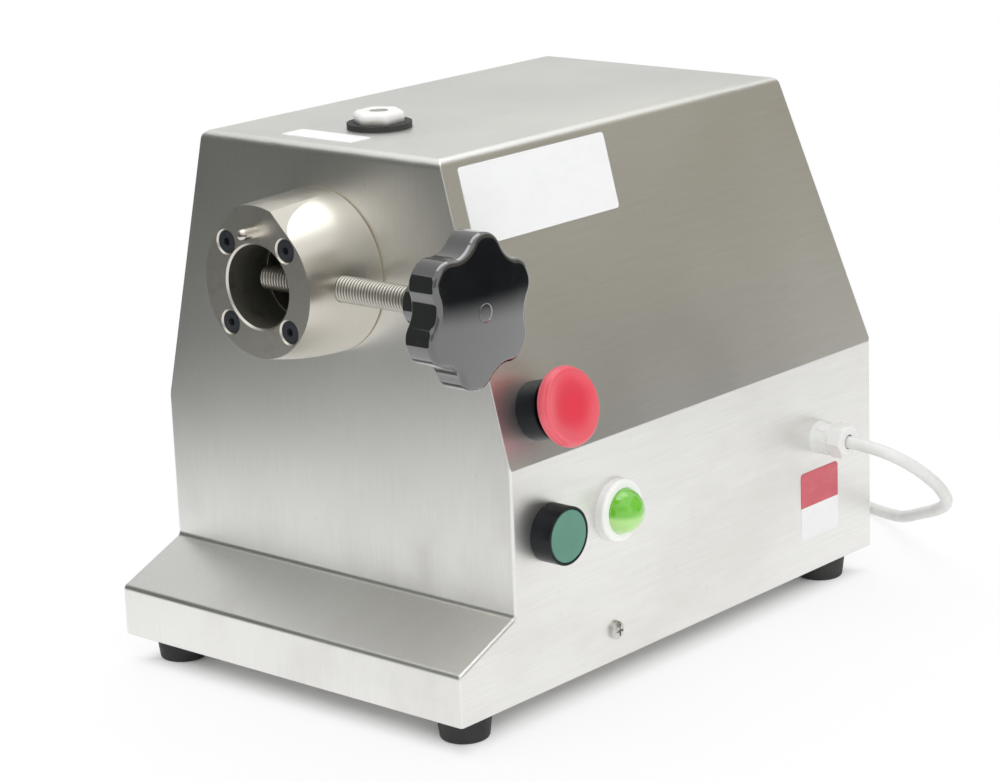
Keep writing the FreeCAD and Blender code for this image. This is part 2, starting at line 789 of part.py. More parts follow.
def socket_bore():
    # Guide land at the mouth, relief where the clamp screw crosses, second land to the gearbox
    chamfer, bore, relief = "socket_chamfer", "socket_bore_radius", "socket_bore_radius + relief_depth"
    return turned("socket_bore", [
        ("0", "-socket_chamfer"), (bore, "-socket_chamfer"), (bore, "clamp_z - relief_half"),
        (relief, "clamp_z - relief_half"), (relief, "clamp_z + relief_half"), (bore, "clamp_z + relief_half"),
        (bore, f"socket_length - {chamfer}"), (f"{bore} + {chamfer}", "socket_length"),
        (f"{bore} + {chamfer}", f"socket_length + {chamfer}"), ("0", f"socket_length + {chamfer}")])


def socket_body():
    drum = turned("socket_drum", [
        ("0", "0"), ("socket_base_radius", "0", "socket_flank_radius", 1),
        ("socket_face_radius", "socket_length"), ("0", "socket_length")])
    in_socket(drum)
    crown = document.addObject("Part::Cone", "socket_crown")
    bind(crown, Radius1="socket_base_radius", Radius2="socket_ridge_radius", Height="socket_length")
    in_socket(crown)
    flats = block("socket_face_radius", "socket_face_radius", "socket_length")
    in_socket(flats)
    flats.Placement.Rotation = forward * FreeCAD.Rotation(Vector(0, 0, 1), 45)
    ridge = document.addObject("Part::Common", "socket_ridge")
    ridge.Base = crown
    ridge.Tool = flats
    screw_hole = turned("socket_screw_hole", [
        ("0", "-socket_chamfer"), ("socket_screw_hole", "-socket_chamfer"),
        ("socket_screw_hole", "socket_length - (countersink_radius - socket_screw_hole)"),
        ("countersink_radius", "socket_length"), ("countersink_radius", "socket_length + socket_chamfer"),
        ("0", "socket_length + socket_chamfer")])
    in_socket(screw_hole, "socket_screw_offset", "socket_screw_offset")
    holes = [
        in_socket(socket_bore()),
        mirrored(mirrored(screw_hole, across), upwards, "socket_z"),
        rod("clamp_radius + fit_gap", "socket_base_radius", "0", "clamp_y", "socket_z", sideways),
        in_socket(rod("pin_shank_radius + fit_gap", "pin_seat"), "0", "pin_height",
                  "socket_length - pin_seat"),
    ]
    return keep(cut(joined([drum, ridge]), holes), "socket_body")


def socket_fittings():
    gasket = tube("gasket", "socket_base_radius", "socket_bore_radius + relief_depth", "0", "socket_gasket")
    put(gasket, "0", "panel_y", "socket_z", forward)
    hole = rod("socket_screw_hole", "3 * socket_gasket", "socket_screw_offset", "panel_y + socket_gasket",
               "socket_z + socket_screw_offset", forward)
    keep(cut(gasket, [mirrored(mirrored(hole, across), upwards, "socket_z")]), "socket_gasket")

    face = "socket_length - socket_screw_sink"
    screw = turned("socket_screw", [
        ("0", "-socket_gasket - sheet - socket_screw_grip"),
        ("socket_screw_radius", "-socket_gasket - sheet - socket_screw_grip"),
        ("socket_screw_radius", f"{face} - (socket_screw_head - socket_screw_radius)"),
        ("socket_screw_head", face), ("0", face)])
    pocket(screw, hexagon(screw, "socket_screw_key", face), "socket_screw_key_depth")
    in_socket(screw, "socket_screw_offset", "socket_screw_offset")
    keep(mirrored(mirrored(screw, across), upwards, "socket_z"), "socket_screws")

    pin = turned("pin", [
        ("0", "socket_length - pin_seat"), ("pin_shank_radius", "socket_length - pin_seat"),
        ("pin_shank_radius", "socket_length"), ("pin_radius", "socket_length"),
        ("pin_radius", "socket_length + pin_reach - pin_radius", "pin_radius", 1),
        ("0", "socket_length + pin_reach")])
    slot = box_outline(pin, "XY_Plane", "-pin_radius", "pin_radius", "-pin_slot / 2", "pin_slot / 2",
                       "socket_length + pin_reach")
    pocket(pin, slot, "pin_slot_depth")
    keep(in_socket(pin, "0", "pin_height"), "locating_pin")


def clamp():
    screw = turned("screw", [
        ("0", "clamp_tip_x"), ("clamp_radius - clamp_tip_chamfer", "clamp_tip_x"),
        ("clamp_radius", "clamp_tip_x + clamp_tip_chamfer"), ("clamp_radius", "knob_start + knob_grip"),
        ("0", "knob_start + knob_grip")])
    keep(put(screw, "0", "clamp_y", "socket_z", sideways), "clamp_screw")

    # Six lobes under a domed face, on a boss that takes the screw
    knob = new_body("knob")
    front, reach = "knob_x + knob_thickness", "(knob_radius + knob_edge_round)"
    pad(knob, circle(knob, "XY_Plane", "knob_radius", offset="knob_x"), "knob_thickness")
    scallop = circle(knob, "XY_Plane", "knob_scallop_radius", "knob_scallop_centre * sin(knob_turn * 1 deg)",
                     "knob_scallop_centre * cos(knob_turn * 1 deg)", "knob_x")
    polar(knob, pocket(knob, scallop, "knob_thickness", reverse=True), "knob_lobes")
    middle = number("knob_x + knob_thickness / 2")
    rounded(knob, "knob_lobe_round", lambda edge: isinstance(edge.Curve, Part.Line)
            and abs(edge.CenterOfMass.z - middle) < 0.01)
    spin(knob, [("0", front, f"({reach} ^ 2 + knob_dome ^ 2) / (2 * knob_dome)", -1),
                (reach, f"{front} - knob_dome"), (reach, f"{front} + knob_dome"), ("0", f"{front} + knob_dome")],
         "Groove")
    low, boss = number(f"{front} - knob_dome"), number("knob_boss_radius")
    rounded(knob, "knob_edge_round", lambda edge: all(
        vertex.Z > low and math.hypot(vertex.X, vertex.Y) > boss for vertex in edge.Vertexes))
    rounded(knob, "knob_edge_round / 2", level_edge(number("knob_x")))
    pad(knob, circle(knob, "XY_Plane", "knob_boss_radius", offset="knob_start"), "knob_boss_length")
    rounded(knob, "knob_boss_round", level_edge(number("knob_start")))
    pocket(knob, circle(knob, "XY_Plane", "clamp_radius + fit_gap", offset="knob_start"),
           "knob_grip + fit_gap", reverse=True)
    keep(put(knob, "0", "clamp_y", "socket_z", sideways), "clamp_knob")


# Buttons and lamp: the body's own z axis points out of the panel, with z = 0 on the sheet

def on_stop(item):
    return put_on_slope(item, "stop_x", "buttons_y", "stop_z")


def on_start(item):
    return put(item, "side_x", "buttons_y", "start_z", sideways)


def on_pilot(item):
    return put(item, "side_x", "pilot_y", "pilot_z", sideways)


def ring_nut(name, radius, bore):
    return tube(name, radius, f"{bore} + fit_gap", "-sheet - ring_nut_height", "-sheet")


def switch_block(name):
    # Contact block clipped under a button's barrel, with a screw terminal ledge on each side
    body = new_body(name)
    top = "-sheet - barrel_length"
    half, high = "switch_width / 2", "switch_height / 2"
    pad(body, box_outline(body, "XY_Plane", f"-({half})", half, f"-({high})", high, top), "switch_depth",
        reverse=True)
    for low, far in ((f"-({half})", f"-({half}) / 2"), (f"{half} / 2", half)):
        pocket(body, box_outline(body, "XY_Plane", low, far, f"-({high})", high,
                                 f"{top} - switch_depth"), "switch_depth / 3", reverse=True)
    return body


def stop_button():
    barrel = "-sheet - barrel_length"
    collar = turned("collar", [
        ("plunger_bore", barrel), ("barrel_radius", barrel), ("barrel_radius", "0"), ("collar_radius", "0"),
        ("collar_radius", "stop_collar_height - collar_round", "collar_round", 1),
        ("collar_radius - collar_round", "stop_collar_height"), ("stop_neck_radius", "stop_collar_height"),
        ("stop_neck_radius", "stop_neck_height"), ("plunger_bore", "stop_neck_height")])
    keep(on_stop(collar), "stop_collar")
    keep(on_stop(switch_block("stop_block")), "stop_switch")

    front = "stop_head_back + stop_head_rim"
    rim = "stop_head_radius - stop_head_edge"
    skirt = "stop_neck_radius + 2 * plunger_clearance"
    foot = f"{barrel} + stop_travel + plunger_clearance"
    head = turned("stop_head", [
        ("0", foot), ("plunger_radius", foot), ("plunger_radius", "stop_head_back + stop_head_hollow"),
        (skirt, "stop_head_back + stop_head_hollow"), (skirt, "stop_head_back"),
        ("stop_head_radius - stop_head_edge / 2", "stop_head_back", "2 * stop_head_edge", 1),
        ("stop_head_radius", f"{front} - stop_head_edge", "stop_head_edge", 1),
        (rim, front, f"(({rim}) ^ 2 + stop_head_dish ^ 2) / (2 * stop_head_dish)", -1),
        ("0", f"{front} - stop_head_dish")])
    keep(on_stop(head), "stop_button")


def start_button():
    barrel = "-sheet - barrel_length"
    floor = "start_bezel_height - start_travel - plunger_clearance - start_cap_thickness"
    bezel = turned("bezel", [
        ("plunger_bore", barrel), ("barrel_radius", barrel), ("barrel_radius", "0"), ("collar_radius", "0"),
        ("collar_radius", "start_bezel_height - collar_round / 2", "collar_round / 2", 1),
        ("collar_radius - collar_round / 2", "start_bezel_height"), ("start_bore", "start_bezel_height"),
        ("start_bore", floor), ("plunger_bore", floor)])
    keep(on_start(bezel), "start_bezel")
    keep(on_start(switch_block("start_block")), "start_switch")
    foot = f"{barrel} + start_travel + plunger_clearance"
    under = f"{floor} + start_travel + plunger_clearance"
    cap = turned("start_cap", [
        ("0", foot), ("plunger_radius", foot), ("plunger_radius", under), ("start_cap_radius", under),
        ("start_cap_radius", "start_bezel_height - collar_round / 2", "collar_round / 2", 1),
        ("start_cap_radius - collar_round / 2", "start_bezel_height"), ("0", "start_bezel_height")])
    keep(on_start(cap), "start_button")


def pilot_lamp():
    barrel = "-sheet - barrel_length"
    seat = "pilot_lens_radius + fit_gap"
    bezel = turned("pilot_ring", [
        ("lamp_radius + fit_gap", barrel), ("pilot_barrel_radius", barrel), ("pilot_barrel_radius", "0"),
        ("pilot_bezel_radius", "0"),
        ("pilot_bezel_radius", "pilot_bezel_height - pilot_bezel_round", "pilot_bezel_round", 1),
        ("pilot_bezel_radius - pilot_bezel_round", "pilot_bezel_height"), (seat, "pilot_bezel_height"),
        (seat, "pilot_bezel_height / 2"), ("lamp_radius + fit_gap", "pilot_bezel_height / 2")])
    keep(on_pilot(bezel), "pilot_bezel")
    straight = "pilot_lens_reach - pilot_lens_radius"
    wall = "pilot_lens_radius - pilot_lens_wall"
    lens = turned("lens", [
        (wall, "pilot_bezel_height / 2"), ("pilot_lens_radius", "pilot_bezel_height / 2"),
        ("pilot_lens_radius", straight, "pilot_lens_radius", 1), ("0", "pilot_lens_reach"),
        ("0", "pilot_lens_reach - pilot_lens_wall", wall, -1), (wall, straight)])
    keep(on_pilot(lens), "pilot_lens")
    lamp = turned("lamp", [
        ("0", "-sheet - lamp_length"), ("lamp_radius", "-sheet - lamp_length"),
        ("lamp_radius", "pilot_bezel_height", "lamp_radius", 1), ("0", "pilot_bezel_height + lamp_radius")])
    keep(on_pilot(lamp), "pilot_lamp")


def panel_nuts():
    keep(group([on_stop(ring_nut("stop_nut", "ring_nut_radius", "barrel_radius")),
                on_start(ring_nut("start_nut", "ring_nut_radius", "barrel_radius")),
                on_pilot(ring_nut("pilot_nut", "ring_nut_radius", "pilot_barrel_radius"))]), "panel_nuts")


def cable_gland():
    def on_gland(item):
        return put(item, "side_x", "gland_y", "gland_z", sideways)

    thread = "-sheet - gland_thread_length"
    body = turned("gland", [
        ("gland_bore_radius", thread), ("gland_thread_radius", thread), ("gland_thread_radius", "0"),
        ("gland_base_radius", "0"), ("gland_neck_radius", "gland_body_length * gland_taper_share"),
        ("gland_neck_radius", "gland_body_length"), ("gland_bore_radius", "gland_body_length")])
    rib = box_outline(body, "XY_Plane", "gland_thread_radius", "gland_base_radius", "-gland_rib_width / 2",
                      "gland_rib_width / 2", "gland_rib_start")
    polar(body, pad(body, rib, "gland_rib_length"), "gland_ribs")
    keep(on_gland(body), "gland_body")
    nut = new_body("gland_cap")
    pad(nut, hexagon(nut, "gland_nut_flats", "gland_body_length"), "gland_nut_length")
    front = "gland_body_length + gland_nut_length"
    bevel = "(gland_nut_flats / 2 + gland_nut_bevel) * tan(30 deg)"
    spin(nut, [("gland_nut_flats / 2 - gland_nut_bevel", front), ("gland_nut_flats", front),
               ("gland_nut_flats", f"{front} - {bevel}")], "Groove")
    pocket(nut, circle(nut, "XY_Plane", "gland_mouth_radius", offset="gland_body_length"), "gland_nut_length",
           reverse=True)
    keep(on_gland(nut), "gland_nut")
    keep(on_gland(tube("gland_sleeve", "gland_bore_radius - fit_gap", "cord_diameter / 2 + fit_gap",
                       "0", "gland_body_length")), "gland_seal")
    keep(on_gland(tube("gland_ring", "gland_lock_radius", "gland_thread_radius + fit_gap",
                       "-sheet - gland_lock_height", "-sheet")), "gland_locknut")


def oil_filler():
    def on_top(item):
        return put(item, "filler_x", "filler_y", "top_z")

    keep(on_top(tube("washer", "filler_washer_radius", "filler_thread_radius + screw_clearance", "0",
                     "filler_washer_height")), "filler_washer")
    plug = new_body("plug")
    low, high = "filler_washer_height", "filler_washer_height + filler_head_height"
    pad(plug, hexagon(plug, "filler_head_flats", low), "filler_head_height")
    spin(plug, [("filler_head_flats / 2 - filler_head_crown", high), ("filler_head_flats", high),
                ("filler_head_flats", f"{high} - filler_head_crown - filler_head_flats / 2")], "Groove")
    pocket(plug, circle(plug, "XY_Plane", "filler_dimple_radius", offset=high), "filler_dimple_depth")
    pad(plug, circle(plug, "XY_Plane", "filler_thread_radius", offset=low), "filler_thread_length", reverse=True)
    keep(on_top(plug), "filler_plug")
    bottom = "socket_z + gearbox_radius - gearbox_wall / 2 - top_z"
    keep(on_top(tube("neck", "filler_neck_radius", "filler_bore", bottom, "0")), "filler_neck")


# Gears, shafts, bearings and gearbox: pieces on the shafts have their own z axis pointing to the back

def on_shaft(item, y, z):
    return put(item, "0", y, z, backward)


def involute_point(base, radius, half_angle):
    # A point of one tooth flank at the given radius, as an angle from the middle of the tooth
    pressure = math.acos(min(base / radius, 1))
    turn = half_angle - (math.tan(pressure) - pressure)
    return radius, turn


def gear_shape(module, teeth, width, bore, tooth_up):
    # Involute teeth: each flank is an arc through three points of the involute
    pressure = math.radians(number("pressure_angle"))
    pitch = module * teeth / 2
    base = pitch * math.cos(pressure)
    tip, root = pitch + module, pitch - number("tooth_root") * module
    half = math.pi / 2 / teeth + math.tan(pressure) - pressure
    low = max(base, root)
    step = 2 * math.pi / teeth
    first = -math.pi / 2 + (0 if tooth_up else step / 2)

    def at(radius, angle):
        return Vector(radius * math.cos(angle), radius * math.sin(angle), 0)

    edges = []
    for tooth in range(teeth):
        middle = first + tooth * step
        flank = [involute_point(base, radius, half) for radius in (low, (low + tip) / 2, tip)]
        rising = [at(radius, middle - turn) for radius, turn in flank]
        falling = [at(radius, middle + turn) for radius, turn in flank]
        foot_turn = flank[0][1]
        next_foot = middle + step - foot_turn
        if low > root:
            edges.append(Part.makeLine(at(root, middle - foot_turn), rising[0]))
        edges.append(Part.Arc(*rising).toShape())
        edges.append(Part.Arc(rising[2], at(tip, middle), falling[2]).toShape())
        edges.append(Part.Arc(*reversed(falling)).toShape())
        if low > root:
            edges.append(Part.makeLine(falling[0], at(root, middle + foot_turn)))
        edges.append(Part.Arc(at(root, middle + foot_turn), at(root, middle + step / 2),
                              at(root, next_foot)).toShape())
    blank = Part.Face(Part.Wire(edges)).extrude(Vector(0, 0, width))
    return blank.cut(Part.makeCylinder(bore, width)) if bore else blank


def gear(name, module, teeth, width, bore, tooth_up):
    item = document.addObject("Part::Feature", name)
    item.Shape = gear_shape(number(module), round(number(teeth)), number(width), bore and number(bore),
                            tooth_up)
    return item


def output_train():
    start = "0"
    seat = "final_y - drive_y"
    end = "cover_y + output_rear_width - drive_y"
    shaft = turned("output", [
        ("0", start), ("output_radius - socket_chamfer", start), ("output_radius", "socket_chamfer"),
        ("output_radius", f"{seat} - gear_gap"), ("output_shoulder", f"{seat} - gear_gap"),
        ("output_shoulder", seat), ("output_seat_radius", seat), ("output_seat_radius", "cover_y - drive_y"),
        ("output_tail_radius", "cover_y - drive_y"), ("output_tail_radius", end), ("0", end)])
    half = "drive_square / 2"
    pocket(shaft, box_outline(shaft, "XY_Plane", f"-({half})", half, f"-({half})", half), "drive_depth",
           reverse=True)
    keep(on_shaft(shaft, "drive_y", "socket_z"), "output_shaft")
    wheel = gear("output_wheel", "final_module", "final_wheel_teeth", "final_face",
                 "output_seat_radius + slide_fit", True)
    keep(on_shaft(wheel, "final_y", "socket_z"), "final_gear")


def layshaft_train():
    back = "cover_y + layshaft_ring_width"
    spindle = turned("lay_spindle", [
        ("0", "0"), ("layshaft_radius", "0"), ("layshaft_radius", "gearbox_front_wall + box_y - lay_front_y"),
        ("layshaft_seat_radius", "gearbox_front_wall + box_y - lay_front_y"),
        ("layshaft_seat_radius", "cover_y - lay_front_y"), ("layshaft_radius", "cover_y - lay_front_y"),
        ("layshaft_radius", f"{back} - lay_front_y"), ("0", f"{back} - lay_front_y")])
    on_shaft(spindle, "lay_front_y", "lay_z")
    pinion = gear("lay_pinion", "final_module", "final_pinion_teeth", "final_face", None, False)
    on_shaft(pinion, "final_y", "lay_z")
    keep(joined([spindle, pinion]), "layshaft")
    wheel = gear("lay_wheel", "first_module", "first_wheel_teeth", "first_face",
                 "layshaft_seat_radius + slide_fit", False)
    keep(on_shaft(wheel, "first_y", "lay_z"), "first_gear")


def rotor_train():
    here = "first_y"
    core_low, core_high = f"stator_y - {here}", f"stator_y + stator_length - {here}"
    tail = f"tail_bearing_y - {here}"
    end = f"fan_y + fan_width - {here}"
    spindle = turned("rotor_spindle", [
        ("0", "0"), ("rotor_radius", "0"), ("rotor_radius", f"motor_y - {here}"),
        ("rotor_core_radius", f"motor_y - {here}"), ("rotor_core_radius", tail), ("rotor_tail_radius", tail),
        ("rotor_tail_radius", end), ("0", end)])
    on_shaft(spindle, here, "motor_z")
    pinion = gear("rotor_pinion", "first_module", "first_pinion_teeth", "first_face", None, True)
    on_shaft(pinion, here, "motor_z")
    keep(joined([spindle, pinion]), "rotor_shaft")
    core = tube("core", "stator_bore - air_gap", "rotor_core_radius + slide_fit", core_low, core_high)
    keep(on_shaft(core, here, "motor_z"), "rotor_core")

    fan = tube("fan", "fan_hub_radius", "rotor_tail_radius + slide_fit", "0", "fan_width")
    blade = pad(fan, box_outline(fan, "XY_Plane", "fan_hub_radius - fan_root", "fan_radius",
                                 "-fan_blade_sheet / 2", "fan_blade_sheet / 2"), "fan_width")
    polar(fan, blade, "fan_blades")
    disc = tube("fan_disc", "fan_radius", "fan_hub_radius - fan_root", "0", "fan_blade_sheet")
    keep(joined([on_shaft(fan, "fan_y", "motor_z"), on_shaft(disc, "fan_y", "motor_z")]), "motor_fan")


def bearing(name, bore, radius, width):
    # A shielded ball bearing: an outer ring that closes over an inner one
    race = f"({bore} + ({radius} - {bore}) * race_share)"
    inner = tube(name + "_inner", race, f"{bore} + slide_fit", "0", width)
    lip = f"{race} + shield_gap"
    hollow = f"({radius} - ({radius} - {bore}) * race_share)"
    wall = f"{width} / 8"
    outer = turned(name + "_outer", [
        (lip, "0"), (f"{radius} - slide_fit", "0"), (f"{radius} - slide_fit", width), (lip, width),
        (lip, f"{width} - {wall}"), (hollow, f"{width} - {wall}"), (hollow, wall), (lip, wall)])
    return inner, outer


def bearings():
    seats = {
        "output_inner_rings": [
            ("output_radius", "output_front_ring", "output_front_width", "front_bearing_y", "socket_z"),
            ("output_tail_radius", "output_rear_ring", "output_rear_width", "cover_y", "socket_z")],
        "layshaft_inner_rings": [
            ("layshaft_radius", "layshaft_ring", "layshaft_ring_width", "lay_front_y", "lay_z"),
            ("layshaft_radius", "layshaft_ring", "layshaft_ring_width", "cover_y", "lay_z")],
        "rotor_inner_rings": [
            ("rotor_radius", "rotor_ring", "rotor_ring_width", "rotor_front_y", "motor_z"),
            ("rotor_tail_radius", "rotor_tail_ring", "rotor_tail_ring_width", "tail_bearing_y", "motor_z")],
    }
    outers = []
    for label, pair in seats.items():
        inners = []
        for index, (bore, radius, width, y, z) in enumerate(pair):
            inner, outer = bearing(f"{label}_{index}", bore, radius, width)
            inners.append(on_shaft(inner, y, z))
            outers.append(on_shaft(outer, y, z))
        keep(group(inners), label)
    keep(group(outers), "bearing_outer_rings")
    front = tube("front_seal", "seal_radius - fit_gap", "output_radius + shield_gap", "0", "seal_width")
    back = tube("motor_seal", "rotor_seal_radius - fit_gap", "rotor_radius + shield_gap", "0",
                "gearbox_cover_wall - rotor_ring_width")
    keep(group([on_shaft(front, "box_y", "socket_z"), on_shaft(back, "cover_y", "motor_z")]), "oil_seals")


def bolt_places():
    # Bolts round the gearbox joint: at the sides of both half rounds and on their ends
    side, diagonal = "bolt_line_radius", "bolt_line_radius * sin(45 deg)"
    return [(side, "socket_z"), (side, "motor_z"), (diagonal, f"socket_z + {diagonal}"),
            (diagonal, f"motor_z - {diagonal}")]


def gearbox():
    box = new_body("gear_case")
    depth = "joint_y - box_y"
    pad(box, stadium(box, "gearbox_radius"), depth, reverse=True)
    pocket(box, stadium(box, "cavity_radius", f"-({depth})"), f"{depth} - gearbox_front_wall", reverse=True)
    put(box, "0", "box_y", "0")
    passage = "output_radius + shaft_passage"
    screw = rod("socket_screw_radius + fit_gap", "socket_screw_grip + blind_hole_end", "socket_screw_offset",
                "box_y", "socket_z + socket_screw_offset", backward)
    bolts = [rod("gearbox_bolt_radius + fit_gap", "gearbox_bolt_grip + blind_hole_end", x, "joint_y", z, forward)
             for x, z in bolt_places()]
    holes = [
        on_shaft(rod("seal_radius", "seal_width"), "box_y", "socket_z"),
        on_shaft(rod(passage, "gearbox_front_wall"), "box_y", "socket_z"),
        on_shaft(rod("output_front_ring", "output_front_width + gear_gap"), "front_bearing_y", "socket_z"),
        on_shaft(rod("layshaft_ring", "layshaft_ring_width + gear_gap"), "lay_front_y", "lay_z"),
        rod("filler_neck_radius + fit_gap", "gearbox_wall", "filler_x", "filler_y",
            "socket_z + gearbox_radius - gearbox_wall / 2"),
        rod("filler_bore", "gearbox_wall * 2", "filler_x", "filler_y", "socket_z + cavity_radius - gearbox_wall"),
        mirrored(mirrored(screw, across), upwards, "socket_z"),
        mirrored(group(bolts), across),
    ]
    keep(cut(box, [joined(holes[:6]), *holes[6:]]), "gearbox_case")

    gasket = new_body("case_joint")
    pad(gasket, stadium(gasket, "gearbox_radius"), "gearbox_gasket_sheet", reverse=True)
    pocket(gasket, stadium(gasket, "cavity_radius"), "gearbox_gasket_sheet")
    put(gasket, "0", "joint_y", "0")
    through = [rod("gearbox_bolt_radius + screw_clearance", "3 * gearbox_gasket_sheet", x,
                   "joint_y - gearbox_gasket_sheet", z, backward) for x, z in bolt_places()]
    keep(cut(gasket, [mirrored(group(through), across)]), "gearbox_gasket")

    lid = new_body("gear_lid")
    pad(lid, stadium(lid, "gearbox_radius"), "gearbox_cover_wall", reverse=True)
    pad(lid, circle(lid, "XZ_Plane", "motor_radius", "0", "motor_z"), "gearbox_cover_wall", reverse=True)
    put(lid, "0", "cover_y", "0")
    seats = [
        on_shaft(rod("output_rear_ring", "output_rear_width"), "cover_y", "socket_z"),
        on_shaft(rod("layshaft_ring", "layshaft_ring_width"), "cover_y", "lay_z"),
        joined([on_shaft(rod("rotor_ring", "rotor_ring_width"), "rotor_front_y", "motor_z"),
                on_shaft(rod("rotor_seal_radius", "gearbox_cover_wall"), "cover_y", "motor_z")]),
        mirrored(group([rod("gearbox_bolt_radius + screw_clearance", "gearbox_cover_wall", x, "cover_y", z,
                            backward) for x, z in bolt_places()]), across),
    ]
    keep(cut(lid, seats), "gearbox_cover")

    bolts = []
    for index, (x, z) in enumerate(bolt_places()):
        length = "gearbox_cover_wall + gearbox_gasket_sheet + gearbox_bolt_grip"
        bolt = turned(f"case_bolt_{index}", [
            ("0", f"-({length})"), ("gearbox_bolt_radius", f"-({length})"), ("gearbox_bolt_radius", "0"),
            ("gearbox_bolt_head", "0"), ("gearbox_bolt_head", "gearbox_bolt_head_height"),
            ("0", "gearbox_bolt_head_height")])
        bolts.append(put(bolt, x, "motor_y", z, backward))
    keep(mirrored(group(bolts), across), "gearbox_bolts")


# Motor and switchgear

def motor():
    housing = tube("motor_tube", "motor_radius", "motor_radius - motor_wall", "0", "motor_length")
    room, depth = "gearbox_bolt_head + bolt_room", "gearbox_bolt_head_height + bolt_room"
    diagonal = "bolt_line_radius * sin(45 deg)"
    notches = [rod(room, depth, "bolt_line_radius", "motor_y", "motor_z", backward),
               rod(room, depth, diagonal, "motor_y", f"motor_z - {diagonal}", backward)]
    keep(cut(on_shaft(housing, "motor_y", "motor_z"), [mirrored(group(notches), across)]), "motor_housing")
    core = tube("stator", "motor_radius - motor_wall - slide_fit", "stator_bore", "0", "stator_length")
    keep(on_shaft(core, "stator_y", "motor_z"), "stator_core")
    coil = tube("winding", "winding_radius", "winding_bore", "0", "winding_length")
    rear = tube("rear_winding", "winding_radius", "winding_bore", "0", "winding_length")
    keep(group([on_shaft(coil, "stator_y - winding_length", "motor_z"),
                on_shaft(rear, "stator_y + stator_length", "motor_z")]), "stator_windings")
    shield = turned("shield", [
        ("rotor_tail_radius + shield_opening", "shield_wall"),
        ("rotor_tail_radius + shield_opening", "rotor_tail_ring_width"),
        ("rotor_tail_ring", "rotor_tail_ring_width"), ("rotor_tail_ring", "0"), ("motor_radius", "0"),
        ("motor_radius", "shield_wall / 2"), ("rotor_tail_ring + shield_boss", "shield_wall")])
    keep(on_shaft(shield, "shield_y", "motor_z"), "end_shield")
    cowl = turned("cowl", [
        ("motor_radius", "0"), ("motor_radius + cowl_wall", "0"), ("motor_radius + cowl_wall", "cowl_depth"),
        ("cowl_opening", "cowl_depth"), ("cowl_opening", "cowl_depth - cowl_wall"),
        ("motor_radius", "cowl_depth - cowl_wall")])
    keep(on_shaft(cowl, "shield_y", "motor_z"), "fan_cowl")

    cradle = new_body("cradle")
    half = "cradle_width / 2"
    rise = "motor_z - motor_radius + cradle_hug"
    pad(cradle, box_outline(cradle, "XZ_Plane", f"-({half})", half, "tray_top_z", rise), "cradle_length",
        reverse=True)
    inside = box_outline(cradle, "XZ_Plane", "cradle_sheet - cradle_width / 2", "cradle_width / 2 - cradle_sheet",
                         "tray_top_z + cradle_sheet", f"{rise} + cradle_sheet", "-cradle_sheet")
    pocket(cradle, inside, "cradle_length - 2 * cradle_sheet")
    pocket(cradle, circle(cradle, "XZ_Plane", "motor_radius + fit_gap", "0", "motor_z"), "cradle_length")
    put(cradle, "0", "stator_y", "0")
    keep(cut(cradle, [cradle_holes("screw_hole", "casing_z", "2 * (tray_sheet + cradle_sheet)")]), "motor_cradle")
    screws = []
    for index, y in enumerate(("stator_y + cradle_screw_inset", "stator_y + cradle_length - cradle_screw_inset")):
        screw = pan_screw(f"cradle_screw_{index}", "cradle_sheet + tray_sheet + screw_end")
        screws.append(put(screw, "cradle_width / 2 - cradle_screw_inset", y, "tray_top_z + cradle_sheet"))
    keep(mirrored(group(screws), across), "cradle_screws")


def switchgear():
    body = new_body("relay")
    half, long = "contactor_width / 2", "contactor_length / 2"
    pad(body, box_outline(body, "XY_Plane", f"-({half})", half, f"-({long})", long), "contactor_height")
    for low, high in ((f"-({long})", f"contactor_step - {long}"), (f"{long} - contactor_step", long)):
        pocket(body, box_outline(body, "XY_Plane", f"-({half})", half, low, high, "contactor_height"),
               "contactor_step")
    keep(put(body, "contactor_x", "contactor_y", "tray_top_z"), "contactor")
    can_z = "tray_top_z + clip_sheet + capacitor_radius"
    can = turned("can", [
        ("0", "0"), ("capacitor_radius - capacitor_round", "0", "capacitor_round", 1),
        ("capacitor_radius", "capacitor_round"), ("capacitor_radius", "capacitor_length"),
        ("capacitor_stud_radius", "capacitor_length"),
        ("capacitor_stud_radius", "capacitor_length + capacitor_stud_length"),
        ("0", "capacitor_length + capacitor_stud_length")])
    keep(put(can, "capacitor_x", "capacitor_y", can_z, backward), "capacitor")
    clip = tube("clip", "capacitor_radius + clip_sheet", "capacitor_radius + fit_gap", "0", "clip_length")
    put(clip, "capacitor_x", "capacitor_y + (capacitor_length - clip_length) / 2", can_z, backward)
    foot = block("2 * capacitor_radius", "clip_length", "clip_sheet", "capacitor_x - capacitor_radius",
                 "capacitor_y + (capacitor_length - clip_length) / 2", "tray_top_z")
    keep(joined([clip, foot]), "capacitor_clip")


# Mains lead: straight runs and tangent arcs through points chosen by hand, a coil and a plug

cord_route = [(134, 130.5, 94.5), (156, 130.5, 94.5), (175.7, 139.5, 87), (187.4, 155.6, 71.5), (185, 174, 54),
              (160, 197, 36), (135, 219, 26), (112, 236, 16), (90, 256, 8.5), (62, 273, 3.7), (36, 283, 3.7),
              (14, 287, 4.6)]
tail_route = [(-14, 288, 19.4), (-34, 286, 18.6)]


